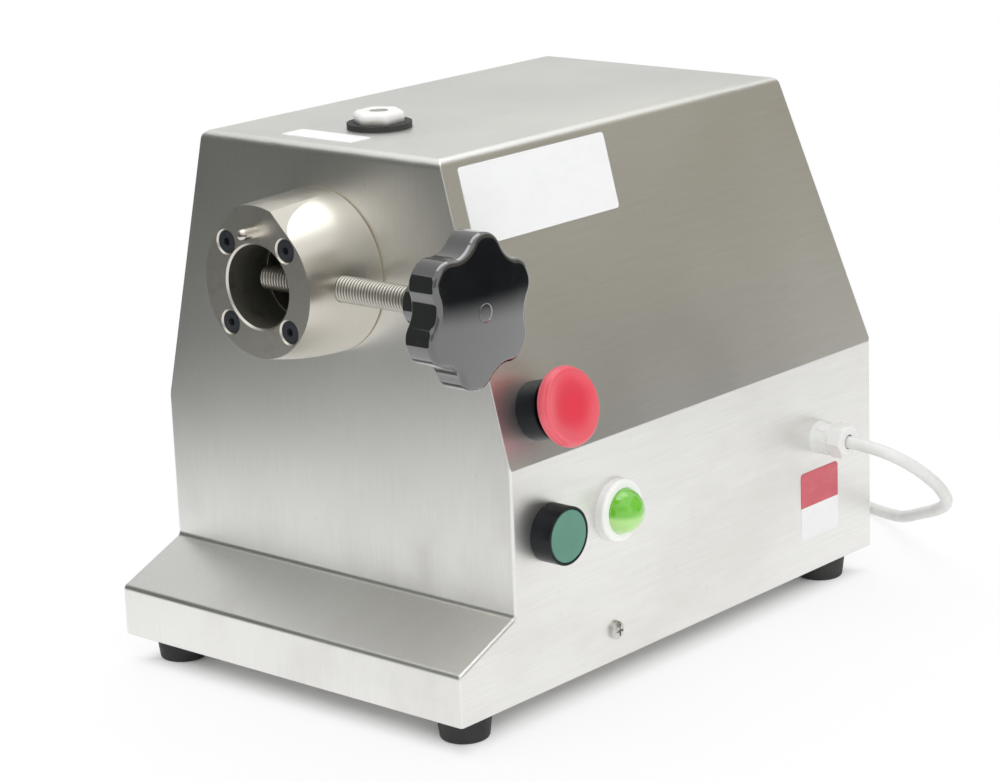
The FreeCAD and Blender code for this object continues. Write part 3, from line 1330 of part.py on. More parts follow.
def cord_path(points):
    edges = []
    here = points[0]
    for before, corner, after in zip(points, points[1:], points[2:]):
        inward, outward = corner - before, after - corner
        turn = inward.getAngle(outward)
        reach = number("cord_bend_share") * min(inward.Length, outward.Length)
        radius = reach / math.tan(turn / 2)
        start = corner - inward.normalize() * reach
        end = corner + outward.normalize() * reach
        bisector = (end - corner) + (start - corner)
        middle = corner + bisector.normalize() * (radius / math.cos(turn / 2) - radius)
        edges.append(Part.LineSegment(here, start).toShape())
        edges.append(Part.Arc(start, middle, end).toShape())
        print(f"cord radius {radius:.1f}")
        here = end
    edges.append(Part.LineSegment(here, points[-1]).toShape())
    return Part.Wire(edges)


def cord_tube(label, points):
    path = cord_path(points)
    radius = number("cord_diameter / 2")
    section = Part.Wire(Part.makeCircle(radius, points[0], points[1] - points[0]))
    item = document.addObject("Part::Feature", "lead")
    item.Shape = path.makePipeShell([section], True, True)
    expected = math.pi * radius ** 2 * path.Length
    print(f"{label}: length {path.Length:.0f}, volume share {item.Shape.Volume / expected:.4f}")
    return keep(item, label)


def mains_lead():
    entry = Vector(number("coil_x"), number("cord_lane_y"), number("coil_z + cord_diameter / 2"))
    leave = Vector(number("coil_x"), number("cord_lane_y"), number("tail_z"))
    plug_end = Vector(number("plug_x"), number("cord_lane_y - cord_diameter"), number("plug_radius"))
    cord_tube("power_cord", [Vector(*point) for point in cord_route] + [entry])
    cord_tube("cord_tail", [leave] + [Vector(*point) for point in tail_route] + [plug_end])

    coil = turned("coil", [
        ("coil_inner", "cord_diameter / 2", "cord_diameter / 2", 1), ("coil_inner + cord_diameter / 2", "0"),
        ("coil_outer - cord_diameter / 2", "0", "cord_diameter / 2", 1), ("coil_outer", "cord_diameter / 2"),
        ("coil_outer", "coil_height - cord_diameter / 2", "cord_diameter / 2", 1),
        ("coil_outer - cord_diameter / 2", "coil_height"),
        ("coil_inner + cord_diameter / 2", "coil_height", "cord_diameter / 2", 1),
        ("coil_inner", "coil_height - cord_diameter / 2")])
    keep(put(coil, "coil_x", "coil_y", "coil_z"), "cord_coil")
    band = new_body("band")
    low, high = "sqrt(coil_inner ^ 2 - tie_width ^ 2 / 4) - tie_gap", "coil_outer + tie_gap"
    pad(band, box_outline(band, "XZ_Plane", f"{low} - tie_sheet", f"{high} + tie_sheet", "0",
                          "coil_height + 2 * (tie_gap + tie_sheet)"), "tie_width", both=True)
    pocket(band, box_outline(band, "XZ_Plane", low, high, "tie_sheet", "coil_height + 2 * tie_gap + tie_sheet"),
           "2 * tie_width", both=True)
    keep(put(band, "coil_x", "coil_y"), "cord_tie")

    body_start, face = "plug_neck_length", "plug_neck_length + plug_body_length"
    body = turned("plug_shell", [
        ("0", "0"), ("plug_neck_radius", "0"), ("plug_neck_radius + plug_neck_flare", body_start),
        ("plug_radius", f"{body_start} + plug_shoulder"), ("plug_radius", f"{face} - plug_face_taper"),
        ("plug_face_radius", face), ("0", face)])
    pins = [rod("plug_pin_radius", "plug_pin_length + plug_pin_root") for side in (1, -1)]
    at = ("plug_x", "cord_lane_y - cord_diameter", "plug_radius")
    put(body, *at, leftward)
    for side, pin in zip(("+", "-"), pins):
        put(pin, f"plug_x - ({face}) + plug_pin_root", f"{at[1]} {side} plug_pin_spacing / 2", at[2], leftward)
    keep(joined([body, *pins]), "mains_plug")


def check_and_write():
    document.recompute()
    failed = [item.Label for item in document.Objects if "Invalid" in item.State or "Error" in item.State]
    unsound = [item.Label for item in nodes
               if item.Shape.isNull() or not item.Shape.isValid() or not item.Shape.Solids]
    if failed or unsound:
        raise RuntimeError(f"failed: {failed}, without a valid solid: {unsound}")
    os.makedirs("parts", exist_ok=True)
    for item in nodes:
        item.Shape.exportStep(f"parts/{item.Label}.step")
    print(len(nodes), "nodes written")


casing()
base_plate()
rubber_feet()
feet_screws()
casing_screws()
socket_body()
socket_fittings()
clamp()
stop_button()
start_button()
pilot_lamp()
panel_nuts()
cable_gland()
oil_filler()
output_train()
layshaft_train()
rotor_train()
bearings()
gearbox()
motor()
switchgear()
mains_lead()
check_and_write()
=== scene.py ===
import json
import math

import bmesh
import bpy
from mathutils import Matrix, Vector


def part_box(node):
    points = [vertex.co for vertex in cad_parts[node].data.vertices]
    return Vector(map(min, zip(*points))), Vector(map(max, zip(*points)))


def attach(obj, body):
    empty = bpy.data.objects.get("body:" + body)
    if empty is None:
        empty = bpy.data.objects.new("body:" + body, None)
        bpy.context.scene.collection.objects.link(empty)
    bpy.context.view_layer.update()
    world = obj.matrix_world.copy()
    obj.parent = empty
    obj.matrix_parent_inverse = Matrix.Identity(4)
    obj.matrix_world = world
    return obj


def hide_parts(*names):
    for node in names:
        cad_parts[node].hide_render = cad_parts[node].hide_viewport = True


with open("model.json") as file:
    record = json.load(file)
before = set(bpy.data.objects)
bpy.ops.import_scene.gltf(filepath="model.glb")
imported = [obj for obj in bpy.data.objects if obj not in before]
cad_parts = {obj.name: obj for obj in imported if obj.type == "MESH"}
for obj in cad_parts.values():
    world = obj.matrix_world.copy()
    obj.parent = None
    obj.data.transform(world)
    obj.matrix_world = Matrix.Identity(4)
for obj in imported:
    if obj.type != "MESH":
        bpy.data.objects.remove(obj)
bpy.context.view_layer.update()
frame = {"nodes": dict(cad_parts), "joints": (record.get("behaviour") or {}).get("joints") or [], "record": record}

nodes = frame["nodes"]
slotOf = {part["node"]: part["material_slot"] for part in frame["record"]["subparts"]}
mm = 0.001
fullTurn = 2 * math.pi
noiseMiddle = 0.5
up = Vector((0, 0, 1))
outOfSide = Vector((1, 0, 0))
stopJoint = next(joint for joint in frame["joints"] if joint["name"] == "stop_push")
outOfSlope = -Vector(stopJoint["axis"])
upSlope = outOfSlope.cross(Vector((0, 1, 0)))

scene = bpy.context.scene
scene.view_settings.view_transform = "Standard"


# Shader maths: one class wraps a socket, and its operators add Math nodes

class Shade:
    def __init__(self, tree, socket=None):
        self.tree = tree
        self.socket = socket

    def node(self, kind, settings=None, values=None, output=0):
        made = self.tree.nodes.new(kind)
        for name, value in (settings or {}).items():
            setattr(made, name, value)
        for name, value in (values or {}).items():
            if isinstance(value, Shade):
                self.tree.links.new(value.socket, made.inputs[name])
            else:
                made.inputs[name].default_value = value
        return Shade(self.tree, made.outputs[output])

    def maths(self, operation, first, second=0.0):
        return self.node("ShaderNodeMath", {"operation": operation}, {0: first, 1: second})

    def __add__(self, other):
        return self.maths("ADD", self, other)

    def __sub__(self, other):
        return self.maths("SUBTRACT", self, other)

    def __mul__(self, other):
        return self.maths("MULTIPLY", self, other)

    def __radd__(self, other):
        return self.maths("ADD", other, self)

    def __rsub__(self, other):
        return self.maths("SUBTRACT", other, self)

    def __rmul__(self, other):
        return self.maths("MULTIPLY", other, self)

    def __gt__(self, other):
        return self.maths("GREATER_THAN", self, other)

    def __abs__(self):
        return self.maths("ABSOLUTE", self)


def startMaterial(name, sockets):
    # Constants go straight onto the shader's own sockets
    material = bpy.data.materials.new(name)
    material.use_nodes = True
    shader = material.node_tree.nodes["Principled BSDF"]
    for socket, value in sockets.items():
        shader.inputs[socket].default_value = value
    return material, Shade(material.node_tree), shader


def feed(shader, links):
    for name, shade in links.items():
        shade.tree.links.new(shade.socket, shader.inputs[name])


def place(shade):
    return shade.node("ShaderNodeTexCoord", output="Object")


def split(shade, vector):
    made = shade.node("ShaderNodeSeparateXYZ", values={"Vector": vector})
    return [Shade(shade.tree, socket) for socket in made.socket.node.outputs]


def stretched(shade, vector, scale):
    return shade.node("ShaderNodeMapping", values={"Vector": vector, "Scale": scale})


def fromLine(shade, first, second):
    # Distance from an axis, from the two offsets across it
    return shade.maths("SQRT", first * first + second * second)


def noise(shade, vector, scale, detail=3.0, rough=0.55):
    return shade.node("ShaderNodeTexNoise", values={
        "Vector": vector, "Scale": scale, "Detail": detail, "Roughness": rough})


def spread(shade, value, low, high, outLow=0.0, outHigh=1.0):
    return shade.node("ShaderNodeMapRange", {"interpolation_type": "SMOOTHSTEP"}, {
        "Value": value, "From Min": low, "From Max": high, "To Min": outLow, "To Max": outHigh})


def patches(shade, vector, scale, limits, detail=5.0, rough=0.65):
    # Soft-edged patches where a noise passes between two limits
    return spread(shade, noise(shade, vector, scale, detail, rough), *limits)


def between(shade, factor, first, second):
    # A number between two others
    return shade.node("ShaderNodeMix", {"data_type": "FLOAT"}, {0: factor, 2: first, 3: second}, 0)


def tint(shade, factor, first, second):
    # A colour between two others
    full = [value if isinstance(value, Shade) else (*value, 1) for value in (first, second)]
    return shade.node("ShaderNodeMix", {"data_type": "RGBA"}, {0: factor, 6: full[0], 7: full[1]}, 2)


def bump(shade, height, strength, distance, normal=None):
    values = {"Height": height, "Strength": strength, "Distance": distance}
    if normal:
        values["Normal"] = normal
    return shade.node("ShaderNodeBump", values=values)


def middleOf(nodeName):
    low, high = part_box(nodeName)
    return (low + high) / 2


# Finishes

brushedSheet = {
    "light": (0.90, 0.895, 0.875), "dark": (0.85, 0.845, 0.82), "smudge": (0.74, 0.725, 0.67),
    "across": 1500.0, "along": 30.0, "grainLimits": (0.25, 0.75), "frontFacing": 0.6,
    "wipeStretch": (14.0, 5.0, 9.0), "wipeLimits": (0.46, 0.74), "wipeTint": 0.40,
    "spotScale": 160.0, "spotLimits": (0.66, 0.74), "spotTint": 0.25, "cloudScale": 9.0,
    "roughness": 0.34, "grainRoughness": 0.06, "cloudRoughness": 0.14, "wipeRoughness": 0.06,
    "relief": 0.03, "depth": 0.2 * mm, "edge": 0.9 * mm, "edgeSamples": 6,
}


def brushedSheetMaterial():
    # Brushed along the sides and down the front and back, with wiped patches, spots and softened folds
    look = brushedSheet
    material, shade, shader = startMaterial("brushedSheet", {"Metallic": 1.0})
    where = place(shade)
    facing = split(shade, shade.node("ShaderNodeNewGeometry", output="Normal"))
    onFront = abs(facing[1]) > look["frontFacing"]
    across, along = look["across"], look["along"]
    alongSide = noise(shade, stretched(shade, where, (across, along, across)), 1.0)
    downFront = noise(shade, stretched(shade, where, (across, across, along)), 1.0)
    grain = between(shade, onFront, alongSide, downFront)
    cloud = noise(shade, where, look["cloudScale"], detail=4.0)
    wiped = patches(shade, stretched(shade, where, look["wipeStretch"]), 1.0, look["wipeLimits"])
    spots = patches(shade, where, look["spotScale"], look["spotLimits"], detail=3.0, rough=0.55)
    metal = tint(shade, spread(shade, grain, *look["grainLimits"]), look["light"], look["dark"])
    metal = tint(shade, look["wipeTint"] * wiped + look["spotTint"] * spots, metal, look["smudge"])
    softEdge = shade.node("ShaderNodeBevel", {"samples": look["edgeSamples"]}, {"Radius": look["edge"]})
    feed(shader, {
        "Base Color": metal,
        "Roughness": (look["roughness"] + look["grainRoughness"] * grain
                      + look["cloudRoughness"] * (cloud - noiseMiddle) + look["wipeRoughness"] * wiped),
        "Normal": bump(shade, grain, look["relief"], look["depth"], softEdge),
    })
    return material


turnedSteel = {
    "flank": (0.68, 0.65, 0.585), "face": (0.92, 0.88, 0.825), "stain": (0.58, 0.49, 0.46),
    "bore": (0.27, 0.265, 0.225), "boreStain": (0.15, 0.145, 0.115), "boreRadius": 22.6 * mm,
    "faceFacing": 0.97, "wallFacing": 0.35, "ringScale": 2600.0, "ringRoughness": 0.10,
    "stainScale": 60.0, "stainLimits": (0.45, 0.75), "stainTint": 0.6, "stainRoughness": 0.06,
    "polish": 0.30, "satin": 0.34, "dull": 0.58, "relief": 0.10, "depth": 0.1 * mm,
}


def turnedSteelMaterial():
    # Polished flank, satin face, dull bore; the cut edges between them stay bright
    look = turnedSteel
    material, shade, shader = startMaterial("turnedSteel", {"Metallic": 1.0})
    where = place(shade)
    x, y, z = split(shade, where)
    facing = split(shade, shade.node("ShaderNodeNewGeometry", output="True Normal"))
    onFace = (0 - facing[1]) > look["faceFacing"]
    fromAxis = fromLine(shade, x, z - middleOf("socket_screws").z)
    onWall = (look["wallFacing"] - abs(facing[1])) > 0.0
    inBore = ((look["boreRadius"] - fromAxis) > 0.0) * onWall
    across = between(shade, onFace, y, fromAxis)
    rings = shade.node("ShaderNodeTexNoise", {"noise_dimensions": "1D"}, {
        "W": across * look["ringScale"], "Scale": 1.0, "Detail": 3.0})
    stain = patches(shade, where, look["stainScale"], look["stainLimits"], rough=0.6)
    metal = tint(shade, onFace, look["flank"], look["face"])
    metal = tint(shade, look["stainTint"] * stain * onFace, metal, look["stain"])
    metal = tint(shade, inBore, metal, tint(shade, stain, look["bore"], look["boreStain"]))
    finish = between(shade, inBore, between(shade, onFace, look["polish"], look["satin"]), look["dull"])
    feed(shader, {
        "Base Color": metal,
        "Roughness": (finish + look["ringRoughness"] * (rings - noiseMiddle)
                      + look["stainRoughness"] * stain),
        "Normal": bump(shade, rings, look["relief"], look["depth"]),
    })
    return material


moulding = {
    "driftScale": 45.0, "driftLimits": (0.35, 0.7), "grainScale": 2500.0, "grainRoughness": 0.06,
    "wearScale": 110.0, "wearLimits": (0.5, 0.75), "wearRoughness": 0.10, "relief": 0.05, "depth": 0.1 * mm,
}


def plasticMaterial(name, look):
    # Moulded plastic: a little colour drift, fine grain and hand shine
    material, shade, shader = startMaterial(name, look.get("sockets", {}))
    where = place(shade)
    drift = patches(shade, where, moulding["driftScale"], moulding["driftLimits"], detail=4.0, rough=0.55)
    grain = noise(shade, where, moulding["grainScale"], detail=2.0)
    worn = patches(shade, where, moulding["wearScale"], moulding["wearLimits"])
    feed(shader, {
        "Base Color": tint(shade, drift, look["colour"], look["shade"]),
        "Roughness": (look["roughness"] + moulding["wearRoughness"] * worn
                      + moulding["grainRoughness"] * (grain - noiseMiddle)),
        "Normal": bump(shade, grain, look.get("relief", moulding["relief"]), moulding["depth"]),
    })
    return material


plastics = {
    "knobBlack": {"colour": (0.005, 0.006, 0.007), "shade": (0.009, 0.010, 0.011), "roughness": 0.07,
                  "relief": 0.004, "sockets": {"Specular IOR Level": 0.8, "Coat Weight": 1.0, "Coat IOR": 2.0,
                                               "Coat Roughness": 0.05}},
    "collarBlack": {"colour": (0.006, 0.008, 0.011), "shade": (0.011, 0.014, 0.018), "roughness": 0.28,
                    "sockets": {"Specular IOR Level": 0.22}},
    "startGreen": {"colour": (0.100, 0.275, 0.200), "shade": (0.085, 0.250, 0.180), "roughness": 0.36},
    "nylonWhite": {"colour": (0.87, 0.87, 0.855), "shade": (0.82, 0.82, 0.80), "roughness": 0.36,
                   "sockets": {"Subsurface Weight": 0.10, "Subsurface Scale": 0.003}},
    "ringWhite": {"colour": (0.96, 0.965, 0.95), "shade": (0.93, 0.935, 0.92), "roughness": 0.30},
    "footRubber": {"colour": (0.016, 0.016, 0.017), "shade": (0.032, 0.031, 0.030), "roughness": 0.62,
                   "relief": 0.2},
    "cordSheath": {"colour": (0.80, 0.80, 0.785), "shade": (0.73, 0.73, 0.71), "roughness": 0.40},
    "plugGrey": {"colour": (0.60, 0.60, 0.59), "shade": (0.54, 0.54, 0.53), "roughness": 0.40},
    "fibreGasket": {"colour": (0.36, 0.31, 0.20), "shade": (0.26, 0.22, 0.15), "roughness": 0.75,
                    "relief": 0.3},
    "switchBlack": {"colour": (0.05, 0.05, 0.055), "shade": (0.075, 0.075, 0.08), "roughness": 0.50},
    "paintedSheet": {"colour": (0.24, 0.25, 0.27), "shade": (0.30, 0.31, 0.33), "roughness": 0.45},
}

stopRed = {
    # the rim colour is a painted sheen towards the edge of the head
    "centre": (0.80, 0.036, 0.070), "rim": (0.80, 0.20, 0.235), "rimFrom": 9.0 * mm, "rimBy": 20.5 * mm,
    "rimTint": 0.5, "hazeScale": 55.0, "hazeShift": 8 * mm, "hazeRoughness": 0.14, "roughness": 0.30,
    "grainScale": 2500.0, "grainRoughness": 0.04, "relief": 0.04, "depth": 0.1 * mm,
    "sockets": {"Subsurface Weight": 0.12, "Subsurface Scale": 0.004, "Specular IOR Level": 0.6},
}


def stopRedMaterial():
    # Painted sheen: deep colour in the dish, paler and hazed towards the rim
    look = stopRed
    material, shade, shader = startMaterial("stopRed", look["sockets"])

    def vectorMaths(operation, first, second, output):
        return shade.node("ShaderNodeVectorMath", {"operation": operation}, {0: first, 1: second}, output)

    where = place(shade)
    offset = vectorMaths("SUBTRACT", where, middleOf("stop_button"), "Vector")
    along = vectorMaths("DOT_PRODUCT", offset, outOfSlope, "Value")
    fromMiddle = vectorMaths("DOT_PRODUCT", offset, offset, "Value")
    fromAxis = shade.maths("SQRT", fromMiddle - along * along)
    haze = noise(shade, where, look["hazeScale"], detail=4.0)
    grain = noise(shade, where, look["grainScale"], detail=2.0)
    # painted sheen: paler colour towards the rim
    rim = spread(shade, fromAxis + look["hazeShift"] * (haze - noiseMiddle), look["rimFrom"], look["rimBy"])
    feed(shader, {
        "Base Color": tint(shade, look["rimTint"] * rim, look["centre"], look["rim"]),
        "Roughness": (look["roughness"] + look["hazeRoughness"] * (haze - noiseMiddle)
                      + look["grainRoughness"] * grain),
        "Normal": bump(shade, grain, look["relief"], look["depth"]),
    })
    return material


lensGreen = {
    "light": (0.56, 0.86, 0.34), "deep": (0.20, 0.62, 0.05), "deepFrom": -3 * mm, "deepBy": 1 * mm,
    "cloudScale": 70.0, "cloudShift": 4 * mm, "ribStretch": (700.0, 250.0, 250.0), "ribRoughness": 0.06,
    "roughness": 0.08, "relief": 0.04, "depth": 0.3 * mm,
    "sockets": {"Transmission Weight": 0.25, "IOR": 1.49, "Subsurface Weight": 0.3, "Subsurface Scale": 0.004,
                "Emission Color": (0.20, 0.54, 0.05, 1), "Emission Strength": 0.12,
                "Coat Weight": 1.0, "Coat Roughness": 0.02},
}


def lensMaterial():
    # Clear green: deep in the upper half, paler where the ring lights it from below
    look = lensGreen
    material, shade, shader = startMaterial("lensGreen", look["sockets"])
    where = place(shade)
    ribs = noise(shade, stretched(shade, where, look["ribStretch"]), 1.0, detail=2.0)
    cloud = noise(shade, where, look["cloudScale"], detail=2.0)
    height = split(shade, where)[2] - middleOf("pilot_lens").z + look["cloudShift"] * (cloud - noiseMiddle)
    deep = spread(shade, height, look["deepFrom"], look["deepBy"])
    feed(shader, {
        "Base Color": tint(shade, deep, look["light"], look["deep"]),
        "Roughness": look["roughness"] + look["ribRoughness"] * ribs,
        "Normal": bump(shade, ribs, look["relief"], look["depth"]),
    })
    return material


plainMetal = {
    "dirtScale": 80.0, "dirtLimits": (0.45, 0.75), "dirtTint": 0.6, "dirtRoughness": 0.10,
    "grainRoughness": 0.12, "depth": 0.3 * mm,
}


def metalMaterial(name, look):
    # Plated, cast, ground or drawn metal: grain at its own scale and a little dirt
    material, shade, shader = startMaterial(name, {"Metallic": look.get("metallic", 1.0)})
    where = place(shade)
    grain = noise(shade, stretched(shade, where, look["stretch"]), 1.0, detail=4.0)
    dirt = patches(shade, where, plainMetal["dirtScale"], plainMetal["dirtLimits"])
    feed(shader, {
        "Base Color": tint(shade, plainMetal["dirtTint"] * dirt, look["colour"], look["shade"]),
        "Roughness": (look["roughness"] + plainMetal["grainRoughness"] * (grain - noiseMiddle)
                      + plainMetal["dirtRoughness"] * dirt),
        "Normal": bump(shade, grain, look["relief"], plainMetal["depth"]),
    })
    return material


metals = {
    "zincPlate": {"colour": (0.70, 0.69, 0.66), "shade": (0.48, 0.47, 0.44),
                  "stretch": (900.0, 900.0, 900.0), "roughness": 0.28, "relief": 0.05},
    "blackOxide": {"colour": (0.058, 0.064, 0.076), "shade": (0.085, 0.086, 0.092),
                   "stretch": (900.0, 900.0, 900.0), "roughness": 0.34, "relief": 0.10, "metallic": 0.6},
    "castAlloy": {"colour": (0.56, 0.57, 0.58), "shade": (0.40, 0.40, 0.41),
                  "stretch": (420.0, 420.0, 420.0), "roughness": 0.50, "relief": 0.45},
    "gearSteel": {"colour": (0.52, 0.52, 0.51), "shade": (0.34, 0.33, 0.31),
                  "stretch": (1200.0, 90.0, 1200.0), "roughness": 0.26, "relief": 0.05},
    "coreSteel": {"colour": (0.30, 0.30, 0.31), "shade": (0.22, 0.20, 0.18),
                  "stretch": (60.0, 2000.0, 60.0), "roughness": 0.45, "relief": 0.50},
    "copperWire": {"colour": (0.66, 0.28, 0.12), "shade": (0.42, 0.16, 0.06),
                   "stretch": (900.0, 60.0, 900.0), "roughness": 0.32, "relief": 0.60},
    "clearGlass": {"colour": (0.80, 0.90, 0.78), "shade": (0.70, 0.84, 0.68),
                   "stretch": (600.0, 600.0, 600.0), "roughness": 0.12, "relief": 0.02, "metallic": 0.0},
}

plasticSlots = {
    "black_gloss": "knobBlack", "black_plastic": "collarBlack", "green_plastic": "startGreen",
    "white_plastic": "nylonWhite", "black_rubber": "footRubber", "cord_grey": "cordSheath",
    "plug_grey": "plugGrey", "dark_plastic": "switchBlack", "grey_paint": "paintedSheet",
}
metalSlots = {
    "zinc_steel": "zincPlate", "black_steel": "blackOxide", "cast_aluminium": "castAlloy",
    "hardened_steel": "gearSteel", "core_steel": "coreSteel", "copper_wire": "copperWire",
    "lamp_glass": "clearGlass",
}
ownPlastics = {"socket_gasket": "fibreGasket", "pilot_bezel": "ringWhite"}

finishes = {
    "stainless": brushedSheetMaterial(),
    "polished_steel": turnedSteelMaterial(),
    "green_lens": lensMaterial(),
    "red_plastic": stopRedMaterial(),
}
for slotName, finishName in plasticSlots.items():
    finishes[slotName] = plasticMaterial(finishName, plastics[finishName])
for slotName, finishName in metalSlots.items():
    finishes[slotName] = metalMaterial(finishName, metals[finishName])
ownFinishes = {nodeName: plasticMaterial(finishName, plastics[finishName])
               for nodeName, finishName in ownPlastics.items()}

for nodeName, node in nodes.items():
    node.data.materials.clear()
    node.data.materials.append(ownFinishes.get(nodeName, finishes[slotOf[nodeName]]))
print("finishes on", len(nodes), "nodes")


# Camera at the photograph's place

camera = {"azimuth": 41.49, "elevation": 15.09, "roll": -2.2, "lens": 109.32, "sensor": 36.0,
          "place": (1.0936, -1.2385, 0.5781)}


def setCamera():
    azimuth, elevation, roll = [math.radians(camera[key]) for key in ("azimuth", "elevation", "roll")]
    back = Vector((math.sin(azimuth) * math.cos(elevation), -math.cos(azimuth) * math.cos(elevation),
                   math.sin(elevation)))
    data = bpy.data.cameras.new("photoCamera")
    data.lens = camera["lens"]
    data.sensor_width = camera["sensor"]
    data.sensor_fit = "HORIZONTAL"
    lens = bpy.data.objects.new("photoCamera", data)
    scene.collection.objects.link(lens)
    turn = back.to_track_quat("Z", "Y").to_matrix() @ Matrix.Rotation(roll, 3, "Z")
    lens.matrix_world = Matrix.Translation(camera["place"]) @ turn.to_4x4()
    scene.camera = lens


setCamera()
print("camera set")


# Mains lead: one spline along the route, round the coil and out to the plug, in millimetres

lead = {
    "diameter": 7.2, "length": 1.88, "smoothness": 6,
    "turns": 6, "pointsPerTurn": 16, "coilCentre": (0.0, 245.0), "outerTurn": 43.2, "innerTurn": 36.0,
    "lowLayer": 5.0, "climb": (0.55, 0.78), "sidestep": (0.70, 0.93),
    "route": [(134, 130.5, 94.5), (156, 130.5, 94.5), (175.7, 139.5, 87), (187.4, 155.6, 71.5),
              (185, 174, 54), (160, 197, 39), (135, 219, 27), (112, 236, 16), (90, 256, 8.5),
              (62, 273, 3.7), (36, 283, 3.7), (14, 287, 4.6)],
    "tail": [(-14, 288, 19.4), (-34, 286, 18.6), (-62, 281, 18.5)],
}


def eased(value, low, high):
    share = min(max((value - low) / (high - low), 0.0), 1.0)
    return share * share * (3 - 2 * share)


def coilPoints():
    # Two turns to a layer, three layers: out, in, in, out, in, out
    outer, inner = lead["outerTurn"], lead["innerTurn"]
    lanes = [outer, inner, inner, outer, inner, outer, outer]
    layers = [0, 0, 1, 1, 2, 2, 2]
    perTurn = lead["pointsPerTurn"]
    centreX, centreY = lead["coilCentre"]
    # A spline of order three runs inside its points by this share
    slack = 0.75 + 0.25 * math.cos(fullTurn / perTurn)
    points = []
    for step in range(lead["turns"] * perTurn + 1):
        turn = min(step // perTurn, lead["turns"] - 1)
        share = step / perTurn - turn
        layer = layers[turn] + (layers[turn + 1] - layers[turn]) * eased(share, *lead["climb"])
        radius = lanes[turn] + (lanes[turn + 1] - lanes[turn]) * eased(share, *lead["sidestep"])
        angle = fullTurn / 4 + fullTurn * step / perTurn
        points.append((centreX + radius / slack * math.cos(angle), centreY + radius / slack * math.sin(angle),
                       lead["lowLayer"] + layer * lead["diameter"]))
    return points


def makeLead():
    points = lead["route"] + coilPoints() + lead["tail"]
    curve = bpy.data.curves.new("mainsLead", "CURVE")
    curve.dimensions = "3D"
    curve.bevel_depth = lead["diameter"] / 2 * mm
    curve.bevel_resolution = lead["smoothness"]
    curve.use_fill_caps = True
    spline = curve.splines.new("NURBS")
    spline.points.add(len(points) - 1)
    for point, (x, y, z) in zip(spline.points, points):
        point.co = (x * mm, y * mm, z * mm, 1)
    spline.order_u = 3
    spline.use_endpoint_u = True
    spline.resolution_u = lead["smoothness"]
    cord = bpy.data.objects.new("mainsLead", curve)
    scene.collection.objects.link(cord)
    curve.materials.append(finishes["cord_grey"])
    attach(cord, "housing")
    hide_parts("power_cord", "cord_coil", "cord_tail")


makeLead()
print("lead laid")


# Pieces built from rings of points

def addPiece(name, build, material, body):
    mesh = bpy.data.meshes.new(name)
    build.normal_update()
    build.to_mesh(mesh)
    build.free()
    piece = bpy.data.objects.new(name, mesh)
    scene.collection.objects.link(piece)
    mesh.materials.append(material)
    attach(piece, body)
    return piece


def roundRing(build, steps, pointAt):
    return [build.verts.new(pointAt(fullTurn * step / steps)) for step in range(steps)]


def skin(build, rings, smoothSides=True, smoothEnd=False):
    # Faces from ring to ring, closed at both ends
    for near, far in zip(rings, rings[1:]):
        for index in range(len(near)):
            after = (index + 1) % len(near)
            face = build.faces.new((near[index], near[after], far[after], far[index]))
            face.smooth = smoothSides
    build.faces.new(rings[0][::-1])
    build.faces.new(rings[-1]).smooth = smoothEnd


# Clamp screw: a real helical thread in place of the plain rod

thread = {
    "pitch": 2.0 * mm, "depth": 1.15 * mm, "steepness": 1.25, "chamfer": 1.2 * mm, "aroundSteps": 40,
    # the root colour is painted shade for the thread's roots
    "rowsPerPitch": 8, "crest": (0.60, 0.575, 0.52), "root": (0.13, 0.12, 0.105), "dirtScale": 180.0,
    "dirtLimits": (0.2, 0.5), "dirtLeast": 0.75, "roughness": 0.30, "rootRoughness": 0.25,
    "dirtRoughness": 0.12,
}


def threadMaterial(axisY, axisZ, crest):
    # Painted shade: the thread's roots are coloured dark, and dirt patches darken the crests a little
    look = thread
    material, shade, shader = startMaterial("threadSteel", {"Metallic": 1.0})
    where = place(shade)
    y, z = split(shade, where)[1:]
    raised = spread(shade, fromLine(shade, y - axisY, z - axisZ), crest - look["depth"], crest)
    dirt = noise(shade, where, look["dirtScale"], detail=4.0)
    clean = spread(shade, dirt, *look["dirtLimits"], look["dirtLeast"], 1.0)
    feed(shader, {
        # painted shade: the roots of the thread take the dark colour
        "Base Color": tint(shade, raised * clean, look["root"], look["crest"]),
        "Roughness": (look["roughness"] + look["rootRoughness"] * (1 - raised)
                      + look["dirtRoughness"] * (dirt - noiseMiddle)),
    })
    return material


def makeThread():
    low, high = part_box("clamp_screw")
    crest, length = (high.z - low.z) / 2, high.x - low.x
    axisY, axisZ = (low.y + high.y) / 2, (low.z + high.z) / 2
    rows = int(length / thread["pitch"] * thread["rowsPerPitch"])
    build = bmesh.new()

    def pointAt(along, angle):
        phase = (along / thread["pitch"] - angle / fullTurn) % 1.0
        flank = min(1.0, thread["steepness"] * abs(2 * phase - 1))
        radius = min(crest - thread["depth"] * (1 - flank), crest - thread["chamfer"] + along)
        return low.x + along, axisY + radius * math.cos(angle), axisZ + radius * math.sin(angle)

    skin(build, [roundRing(build, thread["aroundSteps"], lambda angle: pointAt(length * row / rows, angle))
                 for row in range(rows + 1)])
    finish = threadMaterial(axisY, axisZ, crest)
    piece = addPiece("clampThread", build, finish, "clamp")
    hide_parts("clamp_screw")


makeThread()
print("thread cut")


# Moulding gate: a low round spot in the middle of the knob's face

gate = {"radius": 5.0 * mm, "height": 0.02 * mm, "domeRadius": 259.0 * mm, "rings": 5, "steps": 48,
        "rise": (-0.5, 2.0)}


